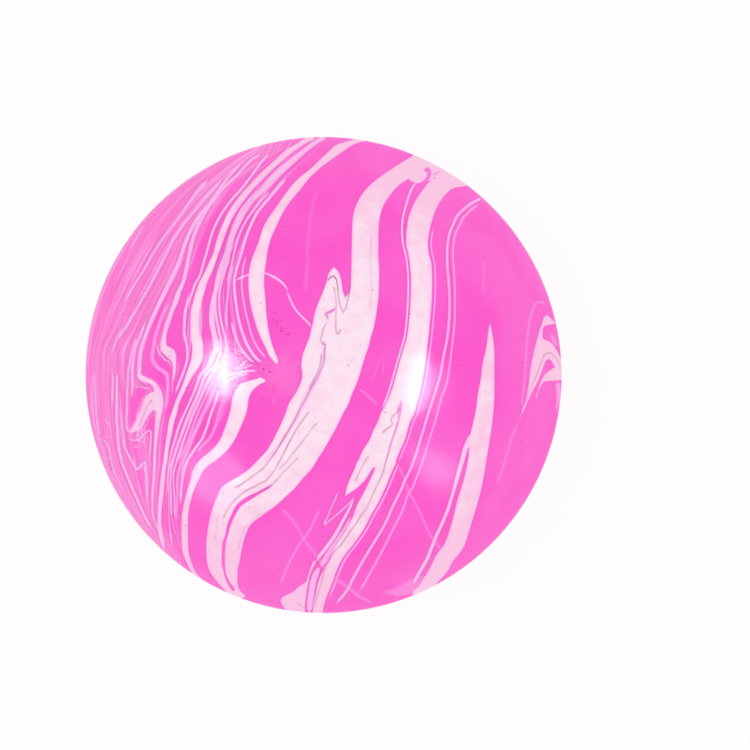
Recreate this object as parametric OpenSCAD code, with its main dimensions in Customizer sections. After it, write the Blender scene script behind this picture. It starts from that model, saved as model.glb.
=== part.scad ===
// Squishy ball: a soft marbled skin around a gel filling, closed by a plugged fill port.
// The ball rests on the flat patch that its own weight makes, with the fill port on top.
// Millimetres, +Z up, origin at the middle of the resting patch.

/* [Ball] */
// Diameter of the ball
ball_d = 50.8; // [40:0.2:80]
// Diameter of the patch that sags flat where the ball rests
rest_patch_d = 12; // [6:0.5:18]
// Thickness of the skin
skin_wall = 2.4; // [1.6:0.1:4]

/* [Fill port] */
// Outside diameter of the neck that thickens the skin round the fill hole
neck_d = 10; // [8:0.5:14]
// Depth of the neck's inner end below the top of the ball
neck_depth = 6; // [5:0.1:9]
// Radius that rounds the neck's inner end
neck_end_r = 0.8; // [0.3:0.1:1.5]
// Width and height of the flare where the neck joins the skin
neck_flare = 1; // [0.4:0.1:1.6]
// Diameter of the hole that the ball is filled through
fill_hole_d = 3.2; // [2.4:0.1:3.6]

/* [Seal] */
// Diameter of the plain patch that covers the plug
seal_d = 4.4; // [4.2:0.1:6]
// Thickness of the patch at its middle
seal_t = 0.9; // [0.5:0.1:1.2]
// Thickness of the ring of glue under the plug's head
glue_t = 0.4; // [0.2:0.1:0.6]

/* [Plug] */
// Thickness of the plug's head
plug_head_t = 0.7; // [0.4:0.1:1]
// How far the barb hooks out behind the neck's end
barb_hook = 0.6; // [0.3:0.1:1]
// Length of the barb's cone
barb_len = 2.4; // [1.6:0.1:4]
// Radius of the barb's round tip
barb_tip_r = 0.8; // [0.4:0.1:1.2]

/* [Filling] */
// Height of the air gap between the filling and the top of the hollow
headspace = 1.2; // [0.6:0.1:2]

/* [Clearances] */
// Gap between the plug's shank and the fill hole
plug_clearance = 0.1; // [0.05:0.01:0.15]
// Gap round the seal and the glue in their seat
seat_clearance = 0.05; // [0.02:0.01:0.1]
// Gap round the plug's head, where spare glue wells up
head_clearance = 0.25; // [0.1:0.05:0.4]
// Gap between the filling and what it touches
gel_film = 0.05; // [0.02:0.01:0.1]

/* [Hidden] */
$fn = 240;

ball_r = ball_d / 2;
rest_patch_r = rest_patch_d / 2;
hollow_r = ball_r - skin_wall;
neck_r = neck_d / 2;
centre_z = sqrt(pow(ball_r, 2) - pow(rest_patch_r, 2));
top_z = centre_z + ball_r;

// Heights down the fill port, from the outside in
plug_head_top_z = top_z - seal_t;
glue_top_z = plug_head_top_z - plug_head_t;
seat_z = glue_top_z - glue_t;
neck_end_z = top_z - neck_depth;
barb_end_z = neck_end_z - barb_len;
neck_root_z = centre_z + sqrt(pow(hollow_r, 2) - pow(neck_r, 2));
gel_top_z = top_z - skin_wall - headspace;

seat_d = seal_d + 2 * seat_clearance;
plug_head_d = seat_d - 2 * head_clearance;
plug_shank_d = fill_hole_d - 2 * plug_clearance;
barb_r = fill_hole_d / 2 + barb_hook;
glue_bore_d = plug_shank_d + 2 * seat_clearance;

// A ball around the common centre, cut flat at floor_z
module flat_footed_ball(r, floor_z) {
    intersection() {
        translate([0, 0, centre_z])
            sphere(r = r);
        translate([-ball_r, -ball_r, floor_z])
            cube([ball_d, ball_d, ball_d]);
    }
}

// The neck with its round end and flared root, grown outwards by grow
module neck_form(grow) {
    outer_r = neck_r + grow;
    end_z = neck_end_z - grow;
    flat_r = outer_r - neck_end_r;
    shoulder_z = end_z + neck_end_r;
    flare_z = neck_root_z - neck_flare;
    translate([0, 0, shoulder_z])
        cylinder(r = outer_r, h = neck_root_z - shoulder_z);
    translate([0, 0, end_z])
        cylinder(r = flat_r, h = neck_root_z - end_z);
    rotate_extrude()
        translate([flat_r, shoulder_z])
            intersection() {
                circle(r = neck_end_r);
                translate([0, -neck_end_r])
                    square(neck_end_r);
            }
    translate([0, 0, flare_z])
        cylinder(r1 = outer_r, r2 = outer_r + neck_flare + skin_wall, h = neck_flare + skin_wall);
}

// The barb's cone and round tip, grown outwards by grow
module barb_form(grow) {
    tip_z = barb_end_z + barb_tip_r;
    translate([0, 0, tip_z])
        cylinder(r1 = barb_tip_r + grow, r2 = barb_r + grow, h = neck_end_z - tip_z);
    translate([0, 0, tip_z])
        sphere(r = barb_tip_r + grow);
}

module skin() {
    color([0.98, 0.37, 0.79])
        difference() {
            flat_footed_ball(ball_r, 0);
            difference() {
                flat_footed_ball(hollow_r, skin_wall);
                neck_form(0);
            }
            translate([0, 0, seat_z])
                cylinder(d = seat_d, h = top_z);
            translate([0, 0, centre_z])
                cylinder(d = fill_hole_d, h = ball_r);
        }
}

module gel_filling() {
    color([0.98, 0.82, 0.91, 0.6])
        difference() {
            intersection() {
                flat_footed_ball(hollow_r - gel_film, skin_wall);
                translate([-ball_r, -ball_r, 0])
                    cube([ball_d, ball_d, gel_top_z]);
            }
            neck_form(gel_film);
            barb_form(gel_film);
        }
}

module fill_plug() {
    color([0.97, 0.55, 0.82]) {
        translate([0, 0, glue_top_z])
            cylinder(d = plug_head_d, h = plug_head_t);
        translate([0, 0, neck_end_z])
            cylinder(d = plug_shank_d, h = glue_top_z - neck_end_z);
        barb_form(0);
    }
}

module glue_ring() {
    color([0.96, 0.90, 0.80])
        translate([0, 0, seat_z])
            difference() {
                cylinder(d = seal_d, h = glue_t);
                translate([0, 0, -glue_t])
                    cylinder(d = glue_bore_d, h = 3 * glue_t);
            }
}

module seal_button() {
    color([0.99, 0.45, 0.81])
        intersection() {
            flat_footed_ball(ball_r, 0);
            translate([0, 0, plug_head_top_z])
                cylinder(d = seal_d, h = ball_r);
        }
}

skin();
gel_filling();
fill_plug();
glue_ring();
seal_button();
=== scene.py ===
import math

import bmesh
import bpy
import numpy as np
from mathutils import Matrix, Vector


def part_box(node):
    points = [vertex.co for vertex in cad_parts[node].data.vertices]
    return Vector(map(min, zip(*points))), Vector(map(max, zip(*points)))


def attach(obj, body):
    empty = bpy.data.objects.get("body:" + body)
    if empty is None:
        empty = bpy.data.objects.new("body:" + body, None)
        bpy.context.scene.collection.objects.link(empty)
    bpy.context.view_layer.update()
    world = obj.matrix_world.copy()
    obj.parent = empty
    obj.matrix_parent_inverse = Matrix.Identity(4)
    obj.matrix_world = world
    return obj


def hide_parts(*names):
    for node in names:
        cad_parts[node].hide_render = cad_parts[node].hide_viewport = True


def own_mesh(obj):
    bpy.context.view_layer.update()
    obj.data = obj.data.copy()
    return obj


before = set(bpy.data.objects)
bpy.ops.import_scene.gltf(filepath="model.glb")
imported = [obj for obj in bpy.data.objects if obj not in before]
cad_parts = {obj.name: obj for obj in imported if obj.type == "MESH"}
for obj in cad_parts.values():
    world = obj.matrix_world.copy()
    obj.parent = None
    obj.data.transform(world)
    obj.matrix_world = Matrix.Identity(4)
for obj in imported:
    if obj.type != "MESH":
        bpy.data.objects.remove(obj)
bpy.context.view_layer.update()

bl_info = {
    "name": "Marbled Squishy Ball",
    "version": (1, 0, 0),
    "blender": (4, 5, 0),
    "location": "View3D > Sidebar > Squishy Ball",
    "description": "Builds a soft marbled ball with its filling, its plugged fill port and a studio stage",
    "category": "Add Mesh",
}

# Sizes from the frame, in metres
SKIN_LOW, SKIN_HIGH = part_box("skin")
GEL_LOW, GEL_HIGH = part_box("gel_filling")
PLUG_LOW, PLUG_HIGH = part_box("fill_plug")
GLUE_LOW, GLUE_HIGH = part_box("glue_ring")
SEAL_LOW, SEAL_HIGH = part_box("seal_button")
MM = 0.001
BALL_R = (SKIN_HIGH.y - SKIN_LOW.y) / 2
TOP_Z = SEAL_HIGH.z
CENTRE_Z = TOP_Z - BALL_R
GEL_R = (GEL_HIGH.y - GEL_LOW.y) / 2
SEAL_R = (SEAL_HIGH.y - SEAL_LOW.y) / 2
GLUE_R = (GLUE_HIGH.y - GLUE_LOW.y) / 2
BARB_R = (PLUG_HIGH.y - PLUG_LOW.y) / 2
SKIN_WALL = GEL_LOW.z

MARBLING = "marbling"

# The marbling is laid out in millimetres from the ball's middle as it is seen from above: across runs to
# the right, along runs up the picture, and depth runs towards the viewer

# Pale ribbons, each with its strength and rows of (along, left edge, right edge)
RIBBONS = (
    ("slim ribbon above the port", 1.0, (
        (25.2, 3.2, 5.2), (25.0, 2.6, 4.4), (24.5, 1.15, 3.0), (24.0, 0.6, 2.3), (23.0, -0.45, 0.85),
        (22.0, -1.5, -0.45), (21.0, -2.75, -1.5), (20.0, -3.65, -2.3), (18.0, -5.1, -3.9),
        (16.0, -6.4, -4.95), (14.0, -7.1, -5.75), (12.0, -7.85, -6.1), (10.0, -8.1, -6.3),
        (8.0, -7.95, -6.15), (6.0, -7.5, -6.0), (4.0, -6.8, -5.65), (3.0, -6.3, -5.35),
        (2.2, -5.95, -5.05), (1.7, -5.6, -4.85), (1.4, -5.35, -4.8), (1.2, -5.15, -4.9),
    )),
    ("slim ribbon below the port", 1.0, (
        (-0.2, -6.85, -6.75), (-0.6, -7.9, -6.15), (-1.0, -9.0, -6.8), (-2.0, -9.65, -7.75),
        (-4.0, -10.1, -8.2), (-6.0, -10.75, -9.0), (-7.0, -11.2, -9.5), (-8.0, -12.0, -10.2),
        (-9.0, -13.2, -11.3), (-10.1, -14.0, -12.7), (-11.2, -14.3, -13.3), (-13.3, -14.9, -14.1),
        (-16.0, -15.25, -14.45), (-18.7, -15.15, -14.4), (-20.8, -14.3, -13.75), (-22.5, -13.2, -12.7),
    )),
    ("broad ribbon", 1.0, (
        (23.9, 10.2, 14.2), (23.2, 9.1, 13.9), (22.6, 8.1, 13.4), (22.0, 7.2, 12.4), (21.6, 6.6, 11.3),
        (21.2, 6.0, 10.0), (20.8, 5.5, 8.85), (20.0, 4.6, 7.8), (19.0, 3.85, 7.0), (18.0, 3.35, 6.4),
        (17.0, 3.08, 6.1), (16.0, 3.0, 5.95), (13.0, 2.92, 5.9), (11.0, 2.88, 6.0), (9.0, 2.75, 5.95),
        (8.4, 2.3, 5.92), (7.8, 1.6, 5.85), (7.0, 0.5, 5.75), (6.0, -0.9, 5.6), (5.0, -1.35, 5.4),
        (4.0, -1.6, 5.1), (3.0, -2.0, 4.85), (2.0, -2.35, 4.5), (1.0, -2.45, 4.2), (0.0, -2.35, 3.9),
        (-1.0, -2.6, 3.55), (-2.0, -3.1, 3.1), (-3.0, -3.75, 2.75), (-4.0, -4.1, 2.2), (-6.0, -5.0, 1.2),
        (-8.0, -6.1, 0.05), (-9.0, -7.0, -0.6), (-10.0, -8.0, -1.2), (-10.7, -8.95, -1.85),
        (-11.2, -9.8, -2.3), (-12.0, -10.95, -2.95), (-13.0, -11.45, -4.0), (-14.0, -11.85, -5.1),
        (-15.0, -12.15, -6.5), (-16.0, -12.35, -7.75), (-17.0, -12.5, -8.25), (-18.0, -12.6, -8.55),
        (-20.0, -12.5, -8.95), (-21.0, -12.2, -9.15), (-22.0, -11.5, -9.15), (-23.0, -10.6, -8.9),
        (-23.7, -9.8, -8.3),
    )),
    ("tongue of the broad ribbon", 1.0, (
        (11.65, 1.08, 1.12), (11.0, 0.55, 1.65), (10.0, 0.25, 1.95), (9.0, -0.1, 2.1), (8.4, -0.35, 2.3),
        (7.8, -0.6, 2.4), (7.0, -0.9, 2.2), (6.0, -1.15, 1.5), (5.0, -1.32, 0.0), (4.6, -1.35, -1.3),
    )),
    ("forked ribbon", 1.0, (
        (22.2, 12.9, 17.0), (21.4, 12.0, 16.6), (20.6, 11.2, 16.0), (20.2, 10.85, 15.2),
        (20.0, 10.7, 14.0), (19.2, 10.1, 13.0), (18.2, 9.55, 12.3), (17.0, 9.05, 11.8),
        (16.0, 8.87, 11.5), (15.0, 8.75, 11.3), (14.0, 8.75, 11.2), (13.0, 8.95, 11.3),
        (12.0, 9.1, 11.55), (10.0, 9.25, 11.65), (8.0, 9.2, 11.6), (6.0, 9.05, 11.45), (4.0, 8.8, 11.25),
        (2.0, 8.2, 11.0), (0.0, 7.65, 10.7), (-2.0, 7.05, 10.3), (-3.0, 6.6, 10.0), (-3.6, 6.3, 9.88),
        (-4.2, 6.0, 9.7), (-5.0, 5.7, 9.3), (-6.0, 5.2, 9.0), (-7.0, 4.8, 8.7), (-8.0, 4.15, 8.25),
        (-9.0, 3.7, 7.85), (-9.6, 3.45, 7.65), (-9.9, 5.2, 5.25),
    )),
    ("lobe of the fork", 1.0, (
        (-9.2, 3.6, 6.3), (-10.0, 3.25, 5.3), (-10.6, 2.98, 4.9), (-11.3, 2.65, 4.4), (-12.0, 2.4, 3.7),
        (-12.5, 2.3, 3.0), (-12.9, 2.25, 2.45), (-13.1, 2.26, 2.3),
    )),
    ("strand of the fork", 1.0, (
        (-9.2, 5.6, 7.8), (-10.0, 5.4, 7.5), (-10.7, 5.12, 7.2), (-11.7, 4.65, 6.8), (-12.8, 4.1, 6.3),
        (-14.0, 3.45, 5.7), (-15.0, 3.1, 5.1), (-16.0, 2.6, 4.6), (-17.0, 2.0, 4.0), (-18.0, 1.3, 3.3),
        (-19.0, 0.85, 2.5), (-20.0, 0.45, 1.85), (-21.0, -0.15, 1.4), (-22.0, -0.6, 1.05),
        (-23.0, -0.85, 0.65), (-24.0, -1.05, 0.25), (-25.0, -1.2, 0.0), (-25.5, -1.25, -0.05),
    )),
    ("drop below the fork", 0.9, (
        (-19.9, -1.15, -0.75), (-20.3, -1.34, -0.93), (-21.0, -1.6, -1.2), (-21.5, -1.75, -1.4),
        (-22.0, -1.9, -1.5), (-22.6, -2.7, -1.65), (-23.2, -3.4, -1.75), (-23.7, -4.4, -1.8),
        (-24.1, -4.65, -1.87), (-24.8, -4.3, -1.95), (-25.5, -3.9, -2.0),
    )),
    ("bridge at the top", 0.95, (
        (23.0, 10.6, 13.6), (22.3, 9.9, 13.2), (21.9, 9.5, 12.8), (21.4, 9.2, 12.4), (21.05, 9.0, 12.0),
        (20.85, 9.1, 11.6), (20.7, 9.3, 11.2), (20.6, 9.55, 10.6),
    )),
    ("blade on the right", 1.0, (
        (5.8, 17.78, 17.82), (4.8, 17.55, 18.0), (3.2, 17.35, 18.25), (1.1, 16.9, 18.3),
        (-0.5, 16.7, 18.3), (-2.1, 16.4, 18.3), (-3.7, 16.2, 18.2), (-5.3, 15.85, 18.05),
        (-6.9, 15.5, 17.8), (-8.75, 15.4, 17.5), (-11.2, 14.9, 17.1), (-13.3, 14.25, 16.6),
        (-15.5, 13.7, 15.95), (-17.6, 13.05, 15.3), (-18.4, 12.65, 15.0), (-19.2, 12.0, 14.45),
        (-20.0, 11.6, 13.8), (-20.8, 11.2, 13.4), (-21.6, 10.7, 12.75), (-22.4, 10.2, 12.0),
        (-23.4, 9.4, 11.0),
    )),
    ("rim fold", 1.0, (
        (6.33, 23.7, 24.0), (6.25, 23.55, 24.15), (6.05, 23.42, 24.35), (5.8, 23.33, 24.6),
        (5.55, 23.27, 24.8), (5.4, 23.22, 24.3), (5.25, 23.17, 23.7), (5.0, 23.08, 23.52),
        (4.4, 22.9, 23.45), (3.9, 22.77, 23.48), (3.72, 22.7, 23.8), (3.6, 22.68, 24.15),
        (3.3, 22.6, 24.5), (2.8, 22.47, 24.85), (2.3, 22.35, 25.15), (1.9, 22.27, 25.35),
        (1.4, 22.17, 25.6), (0.8, 22.07, 25.6), (0.2, 21.98, 25.6), (-0.3, 21.92, 25.6),
        (-0.5, 21.9, 25.6), (-0.62, 21.89, 23.95), (-0.8, 21.87, 23.52), (-1.2, 21.82, 23.27),
        (-1.6, 21.74, 23.08), (-2.1, 21.65, 22.9), (-2.6, 21.52, 22.77), (-2.85, 21.45, 22.6),
        (-3.2, 21.33, 22.1), (-3.5, 21.23, 21.7), (-4.2, 21.03, 21.2), (-5.0, 20.82, 20.9),
    )),
    ("left ribbon", 1.0, (
        (25.4, -1.9, -0.9), (24.8, -2.8, -1.8), (24.0, -4.1, -3.0), (23.0, -5.2, -4.2),
        (22.0, -6.35, -5.35), (21.0, -7.3, -6.35), (20.0, -8.2, -7.35), (19.0, -9.1, -8.25),
        (18.0, -9.85, -9.05), (17.0, -10.45, -9.6), (16.0, -10.9, -10.05), (15.0, -11.3, -10.45),
        (14.0, -11.6, -10.8), (13.0, -11.85, -11.15), (12.0, -12.3, -11.5), (11.0, -12.75, -11.87),
        (10.2, -13.2, -12.25), (9.1, -13.65, -12.6), (8.0, -13.95, -12.9), (7.0, -14.2, -13.1),
        (5.9, -14.3, -13.2), (4.8, -14.3, -13.2), (3.8, -14.2, -12.9), (2.7, -14.1, -12.8),
        (1.6, -14.25, -12.9), (0.8, -14.5, -13.3), (0.0, -14.8, -13.85), (-1.0, -15.1, -14.4),
        (-2.0, -15.55, -14.9), (-3.0, -15.95, -15.35), (-4.0, -16.3, -15.6), (-5.0, -16.6, -15.9),
        (-6.0, -16.75, -16.1), (-7.0, -16.92, -16.3), (-8.0, -17.05, -16.5), (-9.1, -17.2, -16.6),
        (-10.1, -17.35, -16.8), (-12.3, -17.6, -17.0), (-15.5, -17.8, -17.3), (-18.5, -17.2, -16.9),
    )),
    ("ribbon beside the left ribbon", 0.8, (
        (25.4, -0.5, 0.3), (24.8, -1.4, -0.5), (24.2, -2.2, -1.3), (23.0, -3.8, -2.7),
        (21.5, -5.55, -4.4), (20.0, -6.9, -5.85), (18.0, -8.75, -7.8), (17.0, -9.35, -8.4),
        (16.0, -9.8, -8.9), (15.0, -10.15, -9.35), (13.0, -10.7, -9.9), (11.0, -11.45, -10.65),
        (9.0, -11.85, -11.2), (8.0, -12.1, -11.45), (6.0, -12.3, -11.55), (4.0, -12.0, -11.25),
        (3.0, -11.9, -11.0), (2.0, -12.25, -11.5), (1.0, -12.57, -11.94), (0.0, -13.4, -12.9),
        (-1.0, -13.75, -13.3), (-2.0, -14.1, -13.7), (-3.0, -14.55, -14.15), (-4.0, -15.0, -14.6),
        (-5.0, -15.48, -15.05), (-7.0, -16.1, -15.72), (-9.0, -16.6, -16.3), (-11.0, -16.75, -16.5),
        (-13.0, -16.65, -16.4), (-15.5, -16.6, -16.4), (-18.0, -16.3, -16.1),
    )),
    ("inner fold", 0.9, (
        (10.2, -15.0, -14.75), (9.6, -15.4, -14.95), (9.0, -15.75, -15.15), (8.0, -16.1, -15.4),
        (7.0, -16.45, -15.85), (6.0, -16.8, -16.25), (5.0, -17.1, -16.55), (4.0, -17.35, -16.75),
        (3.5, -17.45, -16.75), (3.2, -17.5, -16.7), (3.0, -17.5, -16.45), (2.8, -17.48, -16.05),
        (2.6, -17.42, -15.85), (2.4, -17.3, -15.78), (2.2, -17.1, -15.74), (2.0, -16.9, -15.7),
        (1.8, -16.65, -15.68), (1.5, -16.35, -15.68), (1.2, -16.25, -15.68), (0.8, -16.2, -15.7),
        (0.4, -16.18, -15.75), (0.0, -16.15, -15.8), (-0.6, -16.15, -15.95), (-1.0, -16.15, -16.1),
    )),
    ("outer fold", 0.9, (
        (0.4, -19.85, -19.55), (0.0, -20.0, -19.3), (-0.3, -19.9, -18.8), (-0.5, -19.7, -18.3),
        (-0.7, -19.4, -18.0), (-0.9, -18.7, -17.8), (-1.1, -18.4, -17.65), (-1.4, -18.22, -17.45),
        (-1.7, -18.15, -17.3), (-1.9, -18.6, -17.2), (-2.1, -18.9, -17.12), (-2.4, -19.15, -17.08),
        (-2.8, -19.3, -17.05), (-3.2, -19.3, -17.05), (-3.6, -18.4, -17.1), (-4.0, -17.95, -17.2),
        (-4.4, -18.0, -17.3), (-5.0, -18.05, -17.4), (-6.0, -18.1, -17.55), (-7.0, -18.15, -17.7),
        (-8.0, -18.2, -17.8), (-9.0, -18.25, -17.85), (-10.7, -18.3, -17.9), (-12.8, -18.45, -18.1),
        (-14.4, -18.45, -18.15), (-15.7, -18.15, -17.9), (-17.0, -17.6, -17.4),
    )),
    ("left strand of the fold", 0.9, (
        (-2.8, -19.3, -18.6), (-3.2, -19.45, -18.2), (-3.6, -19.6, -18.05), (-4.0, -19.75, -18.4),
        (-4.4, -19.95, -18.7), (-4.8, -20.1, -18.95), (-5.2, -20.3, -19.15), (-5.6, -20.55, -19.35),
        (-5.9, -20.75, -19.65), (-6.05, -20.7, -20.1), (-6.15, -20.6, -20.3),
    )),
)

# Pink slits through the ribbons, in the same form
SLITS = (
    ("sliver in the broad ribbon", 1.0, (
        (-11.6, -5.45, -5.35), (-12.0, -6.3, -5.6), (-12.5, -7.2, -6.4), (-13.0, -8.3, -7.2),
        (-13.5, -9.0, -8.0), (-14.0, -9.5, -8.7), (-15.0, -10.0, -9.35), (-16.0, -10.4, -9.8),
        (-17.0, -10.6, -10.1), (-18.0, -10.9, -10.35), (-20.0, -11.0, -10.45), (-21.0, -10.8, -10.35),
        (-22.0, -10.5, -10.0), (-23.0, -9.9, -9.4),
    )),
    ("wedge in the fork", 0.6, (
        (-2.3, 8.35, 8.4), (-3.0, 8.05, 8.45), (-3.6, 7.75, 8.45), (-4.2, 7.85, 8.35), (-5.0, 7.75, 8.15),
        (-6.0, 7.5, 7.85), (-7.0, 7.2, 7.5), (-8.0, 6.95, 7.2), (-9.3, 6.6, 6.75),
    )),
    ("pink curl in the broad ribbon", 0.5, (
        (7.25, 1.05, 1.35), (6.95, 0.6, 1.3), (6.65, 0.25, 0.95), (6.3, 0.15, 0.55), (5.95, 0.3, 0.55),
    )),
    ("pink wash in the broad ribbon", 0.22, (
        (3.6, -0.1, 0.35), (2.4, -0.35, 0.3), (0.8, -0.6, 0.05), (-0.8, -1.5, -0.55), (-2.0, -2.2, -1.2),
        (-3.4, -2.8, -1.9), (-5.0, -3.6, -2.8), (-6.5, -4.45, -3.7), (-8.0, -5.5, -4.8),
        (-9.3, -6.5, -5.8),
    )),
    ("pocket of the rim fold", 1.0, (
        (1.78, 23.95, 24.1), (1.55, 23.65, 24.4), (1.2, 23.47, 24.62), (0.9, 23.36, 24.8),
        (0.65, 23.28, 24.5), (0.4, 23.2, 24.15), (0.1, 23.08, 23.8), (-0.2, 22.97, 23.58),
        (-0.7, 22.75, 23.3), (-1.2, 22.5, 23.12), (-1.8, 22.15, 22.95), (-2.4, 21.88, 22.78),
        (-2.8, 21.7, 22.85), (-3.2, 21.53, 22.9), (-3.8, 21.3, 22.6),
    )),
    ("knot above the fork", 0.9, (
        (22.15, 10.9, 11.3), (22.0, 10.66, 11.48), (21.8, 10.62, 11.55), (21.6, 10.95, 11.58),
        (21.2, 10.92, 11.52), (20.9, 10.65, 11.35), (20.6, 10.3, 11.1), (20.3, 10.0, 10.85),
        (19.9, 9.75, 10.6),
    )),
)

# Pink pockets in the paler left side, in the same form
POCKETS = (
    ("pocket above the fold", 1.0, (
        (21.0, -9.3, -8.7), (18.7, -11.0, -10.4), (16.8, -12.1, -11.1), (15.1, -12.9, -11.9),
        (12.8, -13.9, -12.6), (11.2, -14.3, -13.1), (9.0, -15.1, -14.1), (7.7, -15.7, -14.75),
        (6.0, -16.35, -15.0), (4.0, -16.95, -14.85), (3.3, -17.0, -14.75), (2.8, -16.7, -14.7),
        (2.4, -15.8, -14.7), (1.0, -15.65, -14.9), (-0.5, -15.85, -15.25), (-2.5, -16.5, -15.85),
        (-4.5, -16.9, -16.45),
    )),
    ("pocket beside the fold", 1.0, (
        (7.5, -17.4, -17.1), (6.0, -18.1, -16.9), (4.0, -18.9, -17.5), (3.0, -19.2, -17.7),
        (2.0, -19.45, -17.4), (1.0, -19.5, -16.4), (0.5, -19.4, -16.3), (0.0, -19.2, -16.3),
        (-0.4, -18.3, -16.3), (-1.0, -17.6, -16.3), (-2.0, -17.0, -16.5), (-3.0, -16.95, -16.7),
    )),
    ("pocket in the fold", 1.0, (
        (-1.4, -20.1, -18.85), (-2.0, -20.3, -19.0), (-2.6, -20.75, -19.3), (-3.5, -20.85, -19.6),
        (-4.5, -20.85, -20.0), (-5.3, -20.85, -20.35), (-5.7, -20.7, -20.5),
    )),
    ("quiet place under the hook", 0.7, (
        (-7.2, -20.7, -19.2), (-8.0, -20.7, -18.9), (-9.0, -20.3, -18.9), (-9.6, -19.6, -19.0),
    )),
    ("pocket under the zigzag", 0.8, (
        (-9.9, -20.0, -19.3), (-10.5, -20.2, -19.0), (-11.5, -19.9, -18.95), (-12.5, -19.5, -18.95),
        (-13.5, -19.1, -18.9),
    )),
    ("pink between the fold's strands", 1.0, (
        (-4.1, -18.15, -18.1), (-4.7, -18.7, -17.95), (-5.3, -19.0, -18.0), (-6.0, -19.2, -18.1),
        (-6.6, -18.8, -18.3),
    )),
)

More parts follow.
